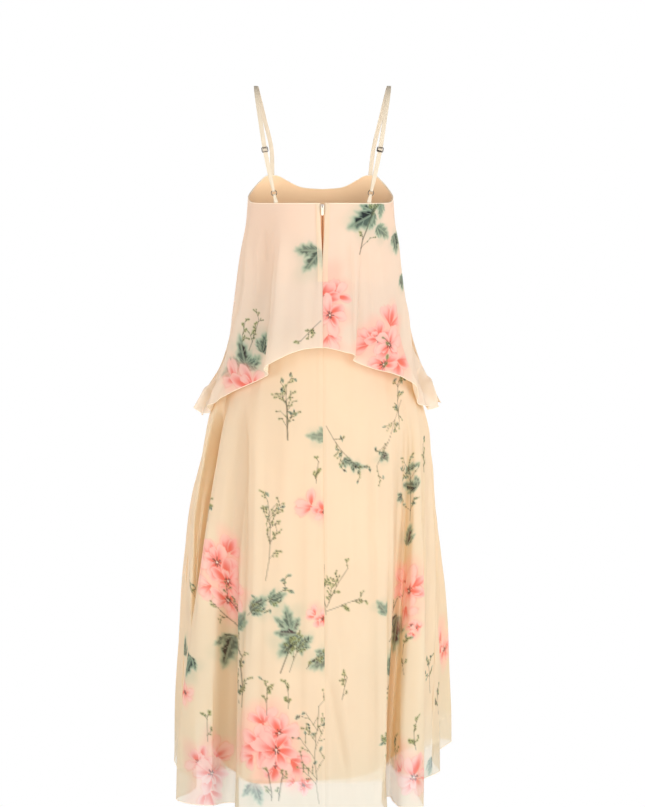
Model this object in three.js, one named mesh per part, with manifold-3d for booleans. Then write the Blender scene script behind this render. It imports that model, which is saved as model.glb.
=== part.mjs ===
// Chiffon maxi dress: fitted bodice under a loose outer tier, full lined skirt, thin straps and a back zip.
// Millimetres, +Z up. The origin lies between the shoulders at the top of the straps, and the back faces -Y.
import * as THREE from 'three';
import { mergeVertices } from 'three/addons/utils/BufferGeometryUtils.js';
import Module from 'manifold-3d';

const wasm = await Module();
wasm.setup();

// Cloth
const CHIFFON = 1.2;
const BODICE_CLOTH = 1.5;
const LINING_CLOTH = 1.0;
const SEAM_GAP = 0.3;
const HALF_SEAM = SEAM_GAP / 2;

// Heights
const WAIST_Z = -370;
const SKIRT_TOP_Z = WAIST_Z - 2 * SEAM_GAP;
const LINING_HEM_Z = -1287;

// Zip down the centre back, and the slit that the outer tier leaves over it
const ZIP_TOP_Z = -223;
const ZIP_END_Z = -428;
const ZIP_STEPS = 12;
const ZIP_STOP = 2;
const CHAIN_WIDTH = 6;
const CHAIN_THICK = 1.6;
const CHAIN_HALF_GAP = CHAIN_WIDTH / 2 + SEAM_GAP;
const SLIDER = { width: 6.4, length: 11, thick: 2.4, corner: 1.6, top: -222.5 };
const BAIL = { width: 1.4, wire: 0.9, reach: 1.15, drop: 3.6 };
const PULL = { width: 4.6, length: 18, thick: 1, bar: 1.2, window: 2.6, windowEnd: 3.6, corner: 1.2 };

// Straps, with a figure-eight slider and a ring on each, and the radius of a strand's turn round the ring
const STRAP_WIDTH = 8.2;
const STRAP_THICK = 1;
const STRAP_AT_RING = 5.2;
const RING = { outer: 11.6, wire: 1.5, sides: 8, steps: 22 };
const ADJUSTER = { width: 12.4, height: 9.6, bar: 1.4, thick: 1.4, corner: 1.8 };
const WEAVE = 1.8;
const RETURN_DEPTH = 3.3;
const STRAND_TURN = 2.43;
const TAB_SPREAD = 0.65;

// Columns and rows of each wall's grid
const COLUMNS = {
  skirt: { back: 24, front: 36 },
  overlay: { back: 24, front: 28 },
  lining: { back: 12, front: 18 },
  bodice: { back: 8, front: 16 },
};
const BODICE_ROWS = [0, 0.2, 0.4, 0.6, 0.8, 1];
const LINING_ROWS_Z = [SKIRT_TOP_Z, -430, -470, -627, -860, LINING_HEM_Z];

// Bodice rings: half width, depth to the back and to the front, how far both sides lean to one side, and how
// square the ring is (2 is an ellipse)
const BODICE_SECTIONS = [
  { z: -370, half: 131, back: 96, front: 99, shift: 0, square: 2.2 },
  { z: -320, half: 133, back: 100, front: 112, shift: -2, square: 2.3 },
  { z: -265, half: 136, back: 105, front: 121, shift: -3, square: 2.4 },
  { z: -221, half: 136.5, back: 108, front: 123, shift: -3.5, square: 2.5 },
  { z: -160, half: 136.5, back: 108, front: 122, shift: -3.5, square: 2.5 },
];

// Height of the top edge, by angle round the ring from the centre back, the same on both sides
const TOP_EDGE = [
  { at: 0, z: -221 },
  { at: 55, z: -221 },
  { at: 72, z: -219 },
  { at: 86, z: -211 },
  { at: 105, z: -199 },
  { at: 124, z: -179 },
  { at: 133, z: -168.5 },
  { at: 140, z: -167.5 },
  { at: 147, z: -168.5 },
  { at: 155, z: -177 },
  { at: 167, z: -190 },
  { at: 180, z: -194 },
];

// Skirt rings before folding, with the share of the hem's folds and the lining's inset at each height
const SKIRT_SECTIONS = [
  { z: -1338, half: 272, back: 256, front: 264, shift: -19, square: 2, fold: 1, inset: 31 },
  { z: -1207, half: 269, back: 245, front: 253, shift: -19, square: 2, fold: 0.92, inset: 29 },
  { z: -1061, half: 265, back: 229, front: 236, shift: -15, square: 2, fold: 0.79, inset: 27 },
  { z: -926, half: 258, back: 210, front: 216, shift: -14, square: 2, fold: 0.62, inset: 25 },
  { z: -793, half: 243, back: 188, front: 193, shift: -13, square: 2, fold: 0.43, inset: 22 },
  { z: -710, half: 228, back: 172, front: 174, shift: -8, square: 2, fold: 0.3, inset: 19 },
  { z: -627, half: 211, back: 154, front: 155, shift: -7, square: 2, fold: 0.16, inset: 16 },
  { z: -560, half: 183, back: 136, front: 138, shift: -6, square: 2.05, fold: 0.09, inset: 13 },
  { z: -500, half: 159, back: 118, front: 121, shift: -2, square: 2.1, fold: 0.05, inset: 10 },
  { z: -470, half: 150, back: 110, front: 114, shift: -1, square: 2.1, fold: 0.03, inset: 8 },
  { z: -430, half: 141, back: 102, front: 107, shift: 0, square: 2.15, fold: 0.01, inset: 5 },
  { z: -370, half: 131, back: 96, front: 99, shift: 0, square: 2.2, fold: 0, inset: 1.6 },
];

// Skirt hem in plan: a row for each ridge, valley or turn, with its angle round the waist
const SKIRT_FOLDS = [
  { at: -180, x: 12, y: 272 },
  { at: -172, x: -29, y: 279 },
  { at: -165, x: -64, y: 252 },
  { at: -157, x: -103, y: 250 },
  { at: -149, x: -144, y: 279 },
  { at: -142, x: -183, y: 256 },
  { at: -135, x: -201, y: 214 },
  { at: -127, x: -232, y: 204 },
  { at: -119, x: -265, y: 193 },
  { at: -112, x: -284, y: 156 },
  { at: -104, x: -300, y: 102 },
  { at: -97, x: -292, y: 55 },
  { at: -90, x: -280, y: 14 },
  { at: -83, x: -262, y: -22 },
  { at: -76, x: -244, y: -70 },
  { at: -69, x: -252, y: -125 },
  { at: -62, x: -277, y: -162 },
  { at: -57, x: -247, y: -195 },
  { at: -52, x: -208, y: -204 },
  { at: -48, x: -186, y: -192 },
  { at: -45, x: -166, y: -187 },
  { at: -41, x: -156, y: -207 },
  { at: -37, x: -161, y: -238 },
  { at: -31, x: -138, y: -251 },
  { at: -21, x: -95, y: -257 },
  { at: -10, x: -44, y: -260 },
  { at: 0, x: 5, y: -262 },
  { at: 12, x: 51, y: -261 },
  { at: 24, x: 90, y: -258 },
  { at: 33, x: 112, y: -251 },
  { at: 40, x: 121, y: -238 },
  { at: 45, x: 114, y: -206 },
  { at: 50, x: 112, y: -170 },
  { at: 55, x: 126, y: -149 },
  { at: 59, x: 135, y: -186 },
  { at: 63, x: 145, y: -214 },
  { at: 67, x: 177, y: -216 },
  { at: 71, x: 190, y: -199 },
  { at: 75, x: 183, y: -158 },
  { at: 80, x: 181, y: -104 },
  { at: 85, x: 192, y: -50 },
  { at: 90, x: 216, y: -12 },
  { at: 96, x: 232, y: 14 },
  { at: 102, x: 228, y: 50 },
  { at: 108, x: 220, y: 94 },
  { at: 115, x: 232, y: 146 },
  { at: 121, x: 257, y: 198 },
  { at: 126, x: 265, y: 235 },
  { at: 133, x: 226, y: 245 },
  { at: 140, x: 195, y: 214 },
  { at: 148, x: 164, y: 233 },
  { at: 155, x: 130, y: 279 },
  { at: 163, x: 95, y: 272 },
  { at: 171, x: 58, y: 245 },
];

// Lining hem in plan
const LINING_FOLDS = [
  { at: -180, x: 0, y: 206 },
  { at: -162, x: -68, y: 202 },
  { at: -144, x: -133, y: 170 },
  { at: -126, x: -185, y: 124 },
  { at: -108, x: -220, y: 60 },
  { at: -90, x: -213, y: 0 },
  { at: -72, x: -197, y: -70 },
  { at: -58, x: -183, y: -118 },
  { at: -44, x: -160, y: -172 },
  { at: -33, x: -140, y: -222 },
  { at: -25, x: -115, y: -238 },
  { at: -13, x: -60, y: -226 },
  { at: 0, x: 4, y: -212 },
  { at: 18, x: 60, y: -196 },
  { at: 32, x: 94, y: -165 },
  { at: 44, x: 115, y: -118 },
  { at: 56, x: 135, y: -60 },
  { at: 72, x: 162, y: -10 },
  { at: 90, x: 185, y: 20 },
  { at: 108, x: 183, y: 72 },
  { at: 126, x: 156, y: 129 },
  { at: 144, x: 113, y: 173 },
  { at: 162, x: 62, y: 202 },
];

// Outer tier's hem in plan and height: short at the centre back, with long fluttering points at the sides
const OVERLAY_FOLDS = [
  { at: -180, x: 0, y: 172, z: -500 },
  { at: -168, x: -40, y: 176, z: -504 },
  { at: -158, x: -74, y: 160, z: -512 },
  { at: -147, x: -112, y: 163, z: -528 },
  { at: -137, x: -134, y: 138, z: -545 },
  { at: -126, x: -172, y: 135, z: -566 },
  { at: -116, x: -189, y: 103, z: -588 },
  { at: -106, x: -226, y: 84, z: -612 },
  { at: -98, x: -229, y: 50, z: -622 },
  { at: -90, x: -245, y: 18, z: -617 },
  { at: -82, x: -231, y: -8, z: -627 },
  { at: -74, x: -220, y: -38, z: -616 },
  { at: -66, x: -209, y: -66, z: -600 },
  { at: -58, x: -171, y: -95, z: -574 },
  { at: -50, x: -133, y: -110, z: -556 },
  { at: -43, x: -112, y: -120, z: -545 },
  { at: -38, x: -101, y: -132, z: -537 },
  { at: -34, x: -108, y: -147, z: -527 },
  { at: -29, x: -99, y: -155, z: -517 },
  { at: -19, x: -65, y: -153, z: -499 },
  { at: -10, x: -33, y: -151, z: -489 },
  { at: 0, x: 1, y: -150, z: -486 },
  { at: 9, x: 24, y: -151, z: -490 },
  { at: 17, x: 44, y: -153, z: -495 },
  { at: 22, x: 58, y: -152, z: -498 },
  { at: 25.5, x: 63, y: -144, z: -504 },
  { at: 29, x: 57, y: -135, z: -511 },
  { at: 35, x: 95, y: -137, z: -526 },
  { at: 44, x: 132, y: -121, z: -537 },
  { at: 53, x: 163, y: -100, z: -552 },
  { at: 59, x: 178, y: -86, z: -567 },
  { at: 64, x: 178, y: -76, z: -583 },
  { at: 71, x: 192, y: -58, z: -603 },
  { at: 80, x: 210, y: -22, z: -614 },
  { at: 90, x: 229, y: 14, z: -606 },
  { at: 98, x: 214, y: 46, z: -604 },
  { at: 106, x: 210, y: 80, z: -600 },
  { at: 116, x: 178, y: 100, z: -580 },
  { at: 126, x: 160, y: 134, z: -560 },
  { at: 137, x: 124, y: 138, z: -540 },
  { at: 147, x: 104, y: 164, z: -525 },
  { at: 158, x: 68, y: 160, z: -510 },
  { at: 168, x: 38, y: 176, z: -503 },
];

// How far the outer tier has spread from its top edge to its hem, and half the slit at the centre back
const OVERLAY_DROP = [
  { down: 0, spread: 0, slit: 3.8 },
  { down: 0.12, spread: 0.04, slit: 3.6 },
  { down: 0.24, spread: 0.12, slit: 2.2 },
  { down: 0.4, spread: 0.21, slit: HALF_SEAM },
  { down: 0.55, spread: 0.31, slit: HALF_SEAM },
  { down: 0.7, spread: 0.43, slit: HALF_SEAM },
  { down: 0.8, spread: 0.58, slit: HALF_SEAM },
  { down: 0.9, spread: 0.8, slit: HALF_SEAM },
  { down: 1, spread: 1, slit: HALF_SEAM },
];

// Right strap after it leaves the front of the bodice: over the shoulder, to the ring on the back
const STRAP_PATH = [
  { x: 100, y: 101, z: -115 },
  { x: 113, y: 82, z: -58 },
  { x: 123, y: 45, z: -14 },
  { x: 126, y: 0, z: 0 },
  { x: 123.5, y: -44, z: -18 },
  { x: 115.5, y: -78, z: -68 },
  { x: 107, y: -95, z: -122 },
  { x: 97.5, y: -98, z: -168 },
  { x: 91.2, y: -97, z: -197 },
];
const STRAP_FRONT = { at: 140, rise: 0.5 };
const STRAP_ADJUSTER_ROW = 7;
const STRAP_STEPS_PER_ROW = 3;
const STRAND_STEPS = 6;
const STRAND_START_ROW = STRAP_ADJUSTER_ROW + 0.2;
const WEAVE_STEPS = 4;
const TURN_STEPS = 6;
const TAB_END = { x: 86.5, y: -94.5, z: -220 };
const TAB_STEPS = [1, 0.75, 0.5, 0.25];

const material = (color, roughness, metalness = 0) =>
  new THREE.MeshStandardMaterial({ color, roughness, metalness });
const finishes = {
  chiffon: () => material(0xfbe3c3, 0.85),
  lining: () => material(0xf6d8b6, 0.6),
  strap: () => material(0xfae7ca, 0.8),
  tape: () => material(0xc99a74, 0.7),
  metal: () => material(0x6f6a66, 0.35, 0.9),
  enamel: () => material(0xf4efe6, 0.4),
};

const lerp = THREE.MathUtils.lerp;

// Value of every column of a table at one place on its key column, on a smooth curve through the rows
function tableAt(rows, key, value) {
  let next = 1;
  while (next < rows.length - 1 && rows[next][key] < value) next += 1;
  const a = rows[next - 1];
  const b = rows[next];
  const before = rows[Math.max(next - 2, 0)];
  const after = rows[Math.min(next + 1, rows.length - 1)];
  const span = b[key] - a[key];
  const t = THREE.MathUtils.clamp((value - a[key]) / span, 0, 1);
  const found = {};
  for (const column of Object.keys(a)) {
    const leave = ((b[column] - before[column]) / (b[key] - before[key])) * span;
    const arrive = ((after[column] - a[column]) / (after[key] - a[key])) * span;
    const rise = b[column] - a[column];
    found[column] = a[column] + t * leave
      + t * t * (3 * rise - 2 * leave - arrive)
      + t * t * t * (leave + arrive - 2 * rise);
  }
  return found;
}

// A hem's rows as a closed loop: each gets its run along the hem, and the loop is repeated past both ends
function closedLoop(rows) {
  let run = 0;
  const measured = rows.map((row, i) => {
    if (i > 0) run += Math.hypot(row.x - rows[i - 1].x, row.y - rows[i - 1].y);
    return { ...row, run };
  });
  const first = measured[0];
  const last = measured[measured.length - 1];
  const round = run + Math.hypot(first.x - last.x, first.y - last.y);
  const turned = (row, turns) => ({ ...row, at: row.at + 360 * turns, run: row.run + round * turns });
  const loop = [];
  for (const turns of [-1, 0, 1]) loop.push(...measured.map((row) => turned(row, turns)));
  return loop;
}

const runAt = (loop, at) => loop.find((row) => row.at === at).run;

// Point of a ring: a squared ellipse with its own depth to the back and to the front
function ringPoint(section, at) {
  const angle = THREE.MathUtils.degToRad(at);
  const power = 2 / section.square;
  const across = Math.sign(Math.sin(angle)) * Math.abs(Math.sin(angle)) ** power;
  const along = Math.sign(Math.cos(angle)) * Math.abs(Math.cos(angle)) ** power;
  const depth = along > 0 ? section.back : section.front;
  return { x: section.half * across + section.shift * Math.abs(across), y: -depth * along };
}

const wrapped = (at) => THREE.MathUtils.euclideanModulo(at + 180, 360) - 180;
const topEdgeZ = (at) => tableAt(TOP_EDGE, 'at', Math.abs(wrapped(at))).z;

function bodicePoint(at, down) {
  const z = lerp(topEdgeZ(at), WAIST_Z, down);
  const { x, y } = ringPoint(tableAt(BODICE_SECTIONS, 'z', z), at);
  return new THREE.Vector3(x, y, z);
}

function foldedPoint(loop, run, z, insetOf) {
  const row = tableAt(loop, 'run', run);
  const section = tableAt(SKIRT_SECTIONS, 'z', z);
  const grown = (s) => ({
    ...s,
    half: s.half - insetOf(s),
    back: s.back - insetOf(s),
    front: s.front - insetOf(s),
  });
  const here = ringPoint(grown(section), row.at);
  const hem = ringPoint(grown(SKIRT_SECTIONS[0]), row.at);
  const x = here.x + section.fold * (row.x - hem.x);
  const y = here.y + section.fold * (row.y - hem.y);
  return new THREE.Vector3(x, y, z);
}

const skirtLoop = closedLoop(SKIRT_FOLDS);
const liningLoop = closedLoop(LINING_FOLDS);
const overlayLoop = closedLoop(OVERLAY_FOLDS);

const skirtPoint = (run, z) => foldedPoint(skirtLoop, run, z, () => 0);
const liningPoint = (run, z) => foldedPoint(liningLoop, run, z, (section) => section.inset);

const OVERLAY_LIFT = BODICE_CLOTH / 2 + SEAM_GAP + CHIFFON / 2;

function overlayPoint(run, down) {
  const row = tableAt(overlayLoop, 'run', run);
  const section = tableAt(BODICE_SECTIONS, 'z', topEdgeZ(row.at));
  const lifted = {
    ...section,
    half: section.half + OVERLAY_LIFT,
    back: section.back + OVERLAY_LIFT,
    front: section.front + OVERLAY_LIFT,
  };
  const top = ringPoint(lifted, row.at);
  const { spread } = tableAt(OVERLAY_DROP, 'down', down);
  const z = lerp(topEdgeZ(row.at), row.z, down);
  return new THREE.Vector3(lerp(top.x, row.x, spread), lerp(top.y, row.y, spread), z);
}

// Closed wall between two grids of points, the outer one seen from outside with its rows going down
function wallGeometry(outer, inner) {
  const rows = outer.length;
  const columns = outer[0].length;
  const points = [...outer.flat(), ...inner.flat()];
  const o = (i, j) => i * columns + j;
  const n = (i, j) => (rows + i) * columns + j;
  const faces = [];
  const side = (u, v) => faces.push(o(...v), o(...u), n(...u), o(...v), n(...u), n(...v));
  for (let i = 0; i < rows - 1; i += 1) {
    for (let j = 0; j < columns - 1; j += 1) {
      faces.push(o(i, j), o(i + 1, j), o(i + 1, j + 1), o(i, j), o(i + 1, j + 1), o(i, j + 1));
      faces.push(n(i, j), n(i + 1, j + 1), n(i + 1, j), n(i, j), n(i, j + 1), n(i + 1, j + 1));
    }
    side([i, 0], [i + 1, 0]);
    side([i + 1, columns - 1], [i, columns - 1]);
  }
  for (let j = 0; j < columns - 1; j += 1) {
    side([0, j + 1], [0, j]);
    side([rows - 1, j], [rows - 1, j + 1]);
  }
  const geometry = new THREE.BufferGeometry().setFromPoints(points);
  geometry.setIndex(faces);
  geometry.computeVertexNormals();
  return geometry;
}

const PROBE = 0.5;
const PROBE_SHARE = 0.005;

// Panel of cloth between two seams. down lists its rows, and gap gives half the seam's gap at each row
function panelGeometry(surface, seams, columns, down, thick, gap) {
  const outer = [];
  const inner = [];
  const probeDown = PROBE_SHARE * (down[down.length - 1] - down[0]);
  for (const [i, row] of down.entries()) {
    outer.push([]);
    inner.push([]);
    for (let j = 0; j <= columns; j += 1) {
      const run = lerp(seams[0], seams[1], j / columns);
      const point = surface(run, row);
      const along = surface(run + PROBE, row).sub(surface(run - PROBE, row)).normalize();
      const above = surface(run, i > 0 ? row - probeDown : row);
      const below = surface(run, i < down.length - 1 ? row + probeDown : row);
      const normal = below.sub(above).cross(along).normalize();
      if (j === 0) point.addScaledVector(along, gap.start(i));
      if (j === columns) point.addScaledVector(along, -gap.end(i));
      outer[i].push(point.clone().addScaledVector(normal, thick / 2));
      inner[i].push(point.clone().addScaledVector(normal, -thick / 2));
    }
  }
  return wallGeometry(outer, inner);
}

const group = new THREE.Group();
group.name = 'maxi_dress';

function addMesh(name, geometry, finish, parent = group) {
  const mesh = new THREE.Mesh(geometry, finish());
  mesh.name = name;
  parent.add(mesh);
  return mesh;
}

// A layer of the dress: a front panel and two back panels, sewn at the sides and down the centre back
function addLayer(layer, surface, runOf, down, thick, finish, centreGap) {
  const seam = () => HALF_SEAM;
  const columns = COLUMNS[layer];
  const left = runOf(-90);
  const middle = runOf(0);
  const right = runOf(90);
  const round = runOf(180) - runOf(-180);
  const build = (name, seams, count, gap) =>
    addMesh(`${layer}_${name}`, panelGeometry(surface, seams, count, down, thick, gap), finish);
  build('back_left', [left, middle], columns.back, { start: seam, end: centreGap });
  build('back_right', [middle, right], columns.back, { start: centreGap, end: seam });
  build('front', [right, left + round], columns.front, { start: seam, end: seam });
}

const zipGapAt = (z) => (z >= ZIP_END_Z - ZIP_STOP ? CHAIN_HALF_GAP : HALF_SEAM);
const skirtRowsZ = SKIRT_SECTIONS.map((row) => row.z).reverse();
skirtRowsZ[0] = SKIRT_TOP_Z;
const overlayRows = OVERLAY_DROP.map((row) => row.down);

addLayer('bodice', bodicePoint, (at) => at, BODICE_ROWS, BODICE_CLOTH, finishes.lining,
  () => CHAIN_HALF_GAP);
addLayer('skirt', skirtPoint, (at) => runAt(skirtLoop, at), skirtRowsZ, CHIFFON, finishes.chiffon,
  (i) => zipGapAt(skirtRowsZ[i]));
addLayer('lining', liningPoint, (at) => runAt(liningLoop, at), LINING_ROWS_Z, LINING_CLOTH, finishes.lining,
  (i) => zipGapAt(LINING_ROWS_Z[i]));
addLayer('overlay', overlayPoint, (at) => runAt(overlayLoop, at), overlayRows, CHIFFON, finishes.chiffon,
  (i) => OVERLAY_DROP[i].slit);

// Flat band through places that each give a centre, the band's own directions and its width
function bandGeometry(places, thick) {
  const outer = [];
  const inner = [];
  for (const { centre, across, normal, width } of places) {
    const edges = [-width / 2, width / 2].map((half) => centre.clone().addScaledVector(across, half));
    outer.push(edges.map((edge) => edge.clone().addScaledVector(normal, thick / 2)));
    inner.push(edges.map((edge) => edge.clone().addScaledVector(normal, -thick / 2)));
  }
  return wallGeometry(outer, inner);
}

const ACROSS = new THREE.Vector3(1, 0, 0);
const OUT_OF_BACK = new THREE.Vector3(0, -1, 0);

// Zip chain, from the top edge down through the bodice and into the skirt
function zipPlaces() {
  const centreRun = runAt(skirtLoop, 0);
  const topZ = topEdgeZ(0);
  const places = [];
  for (let i = 0; i <= ZIP_STEPS; i += 1) {
    const z = lerp(ZIP_TOP_Z, ZIP_END_Z, i / ZIP_STEPS);
    const inBodice = z >= WAIST_Z;
    const centre = inBodice ? bodicePoint(0, (z - topZ) / (WAIST_Z - topZ)) : skirtPoint(centreRun, z);
    places.push({ centre, across: ACROSS, normal: OUT_OF_BACK, width: CHAIN_WIDTH });
  }
  return places;
}

addMesh('zip_chain', bandGeometry(zipPlaces(), CHAIN_THICK), finishes.tape);

const CORNER_STEPS = 4;

function roundedRectangle(width, height, corner) {
  const points = [];
  const corners = [[1, -1], [1, 1], [-1, 1], [-1, -1]];
  for (const [turn, [sideX, sideY]] of corners.entries()) {
    const middle = new THREE.Vector2(sideX * (width / 2 - corner), sideY * (height / 2 - corner));
    for (let i = 0; i <= CORNER_STEPS; i += 1) {
      const angle = (turn - 1 + i / CORNER_STEPS) * Math.PI / 2;
      points.push(new THREE.Vector2(corner * Math.cos(angle), corner * Math.sin(angle)).add(middle));
    }
  }
  return new THREE.Shape(points);
}

function rectangleHole(x, y, width, height) {
  const corners = [[-1, -1], [1, -1], [1, 1], [-1, 1]];
  return new THREE.Path(corners.map(([sideX, sideY]) =>
    new THREE.Vector2(x + sideX * width / 2, y + sideY * height / 2)));
}

const extrude = (shape, depth) => new THREE.ExtrudeGeometry(shape, { depth, bevelEnabled: false });

function solidOf(geometry) {
  const bare = geometry.index ? geometry.toNonIndexed() : geometry.clone();
  bare.deleteAttribute('normal');
  bare.deleteAttribute('uv');
  const merged = mergeVertices(bare);
  return new wasm.Manifold(new wasm.Mesh({
    numProp: 3,
    vertProperties: merged.attributes.position.array,
    triVerts: new Uint32Array(merged.index.array),
  }));
}

function geometryOf(solid) {
  const mesh = solid.getMesh();
  const geometry = new THREE.BufferGeometry();
  geometry.setAttribute('position', new THREE.BufferAttribute(new Float32Array(mesh.vertProperties), 3));
  geometry.setIndex(new THREE.BufferAttribute(new Uint32Array(mesh.triVerts), 1));
  geometry.computeVertexNormals();
  return geometry;
}

// Zip hardware in its own frame: X across, Y up the zip, Z out of the back, from the slider's back face
const hingeUp = SLIDER.length / 2 - BAIL.drop;
const hingeOut = SLIDER.thick + BAIL.reach;

function sliderGeometry() {
  const body = solidOf(extrude(roundedRectangle(SLIDER.width, SLIDER.length, SLIDER.corner), SLIDER.thick));
  const rise = 2 * BAIL.reach;
  const legs = rise + 2 * BAIL.wire;
  const arch = new THREE.Shape([
    new THREE.Vector2(-legs / 2, -BAIL.wire),
    new THREE.Vector2(legs / 2, -BAIL.wire),
    new THREE.Vector2(legs / 2, rise),
    new THREE.Vector2(rise / 2, rise + BAIL.wire),
    new THREE.Vector2(-rise / 2, rise + BAIL.wire),
    new THREE.Vector2(-legs / 2, rise),
  ]);
  arch.holes.push(rectangleHole(0, rise / 2, rise, rise));
  const bail = extrude(arch, BAIL.width);
  bail.translate(0, 0, -BAIL.width / 2);
  const upright = new THREE.Matrix4().makeBasis(
    new THREE.Vector3(0, 1, 0),
    new THREE.Vector3(0, 0, 1),
    new THREE.Vector3(1, 0, 0),
  );
  bail.applyMatrix4(upright);
  bail.translate(0, hingeUp, SLIDER.thick);
  return geometryOf(body.add(solidOf(bail)));
}

// Pull tab: a plate whose top bar turns under the slider's bail
function pullGeometry() {
  const shape = roundedRectangle(PULL.width, PULL.length, PULL.corner);
  const top = PULL.length / 2;
  const low = top - PULL.bar / 2 - PULL.windowEnd;
  const high = top - PULL.bar;
  shape.holes.push(rectangleHole(0, (low + high) / 2, PULL.window, high - low));
  const plate = extrude(shape, PULL.thick);
  plate.translate(0, -top + PULL.bar / 2, -PULL.thick / 2);
  return plate;
}

function zipHardware() {
  const frame = new THREE.Group();
  const back = bodicePoint(0, 0).y - CHAIN_THICK / 2 - SEAM_GAP;
  frame.position.set(0, back, SLIDER.top - SLIDER.length / 2);
  frame.rotation.set(Math.PI / 2, 0, 0);
  addMesh('zip_slider', sliderGeometry(), finishes.metal, frame);
  addMesh('zip_pull', pullGeometry(), finishes.enamel, frame).position.set(0, hingeUp, hingeOut);
  return frame;
}

group.add(zipHardware());

// Strap curve with its directions at each place: down it, across it and out from the body
function strapPlaces(side) {
  const front = bodicePoint(side * STRAP_FRONT.at, 0);
  front.z += STRAP_FRONT.rise;
  const points = [front, ...STRAP_PATH.map((p) => new THREE.Vector3(side * p.x, p.y, p.z))];
  const curve = new THREE.CatmullRomCurve3(points, false, 'centripetal');
  const rows = points.length - 1;
  return (row) => {
    const t = THREE.MathUtils.clamp(row / rows, 0, 1);
    const centre = curve.getPoint(t);
    const down = curve.getTangent(t);
    const across = ACROSS.clone().addScaledVector(down, -ACROSS.dot(down)).normalize();
    return { centre, down, across, normal: down.clone().cross(across) };
  };
}

const shifted = (place, down, out, width) => ({
  ...place,
  centre: place.centre.clone().addScaledVector(place.down, down).addScaledVector(place.normal, out),
  width,
});

// Half turn of a band round a wire, from one side of it to the other; hang is 1 below the wire and -1 above
function turnPlaces(wire, hang, width) {
  const places = [];
  for (let i = 0; i <= TURN_STEPS; i += 1) {
    const angle = Math.PI * i / TURN_STEPS;
    const out = Math.cos(angle) * STRAND_TURN;
    const down = Math.sin(angle) * STRAND_TURN * hang;
    const normal = wire.normal.clone().multiplyScalar(Math.cos(angle))
      .addScaledVector(wire.down, hang * Math.sin(angle));
    places.push({ ...shifted(wire, down, out, width), normal });
  }
  return places;
}

const smooth = (t) => t * t * (3 - 2 * t);

// One strap: over the shoulder, woven through its adjuster, round the ring and back up behind itself
function strapBand(placeAt) {
  const last = STRAP_PATH.length;
  const adjuster = placeAt(STRAP_ADJUSTER_ROW);
  const wire = placeAt(last);
  const pitch = (ADJUSTER.height - ADJUSTER.bar) / 2;
  const places = [];
  const coming = STRAP_ADJUSTER_ROW * STRAP_STEPS_PER_ROW;
  for (let i = 0; i < coming - 1; i += 1) {
    places.push({ ...placeAt(i / STRAP_STEPS_PER_ROW), width: STRAP_WIDTH });
  }
  for (let i = -WEAVE_STEPS; i <= WEAVE_STEPS; i += 1) {
    const along = i * pitch / WEAVE_STEPS;
    places.push(shifted(adjuster, along, WEAVE * Math.cos(Math.PI * i / WEAVE_STEPS), STRAP_WIDTH));
  }
  const strand = (t, from, to) => {
    const place = placeAt(lerp(STRAND_START_ROW, last, t));
    const narrow = smooth(THREE.MathUtils.clamp(t * 2 - 1, 0, 1));
    return shifted(place, 0, lerp(from, to, smooth(t)), lerp(STRAP_WIDTH, STRAP_AT_RING, narrow));
  };
  for (let i = 1; i < STRAND_STEPS; i += 1) places.push(strand(i / STRAND_STEPS, -WEAVE, STRAND_TURN));
  places.push(...turnPlaces(wire, 1, STRAP_AT_RING));
  const reversed = (place) => ({ ...place, normal: place.normal.clone().negate() });
  for (let i = STRAND_STEPS - 1; i >= 0; i -= 1) {
    places.push(reversed(strand(i / STRAND_STEPS, -RETURN_DEPTH, -STRAND_TURN)));
  }
  return bandGeometry(places, STRAP_THICK);
}

// Short tab that holds the ring: up from the bodice's top edge, round the ring and back down inside
function tabBand(side, lowWire) {
  const end = new THREE.Vector3(side * TAB_END.x, TAB_END.y, TAB_END.z);
  const leg = (t, out) => {
    const place = { ...lowWire, centre: lowWire.centre.clone().lerp(end, t) };
    return shifted(place, 0, lerp(out * STRAND_TURN, out * TAB_SPREAD, smooth(t)),
      lerp(STRAP_AT_RING, STRAP_WIDTH, smooth(t)));
  };
  const up = TAB_STEPS.map((t) => ({ ...leg(t, 1), normal: lowWire.normal.clone().negate() }));
  const turn = turnPlaces(lowWire, -1, STRAP_AT_RING)
    .map((place) => ({ ...place, normal: place.normal.clone().negate() }));
  const down = TAB_STEPS.slice().reverse().map((t) => leg(t, -1));
  return bandGeometry([...up, ...turn, ...down], STRAP_THICK);
}

function adjusterGeometry() {
  const shape = roundedRectangle(ADJUSTER.width, ADJUSTER.height, ADJUSTER.corner);
  const gapWidth = ADJUSTER.width - 2 * ADJUSTER.bar;
  const gapHeight = (ADJUSTER.height - 3 * ADJUSTER.bar) / 2;
  const middle = (ADJUSTER.bar + gapHeight) / 2;
  for (const y of [-middle, middle]) shape.holes.push(rectangleHole(0, y, gapWidth, gapHeight));
  const plate = extrude(shape, ADJUSTER.thick);
  plate.translate(0, 0, -ADJUSTER.thick / 2);
  return plate;
}

// Sets a mesh in the strap's own directions: X across it, Y up it and Z out from the body
function setOnStrap(mesh, place) {
  const turn = new THREE.Matrix4().makeBasis(place.across, place.down.clone().negate(), place.normal);
  mesh.position.copy(place.centre);
  mesh.quaternion.setFromRotationMatrix(turn);
}

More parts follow.
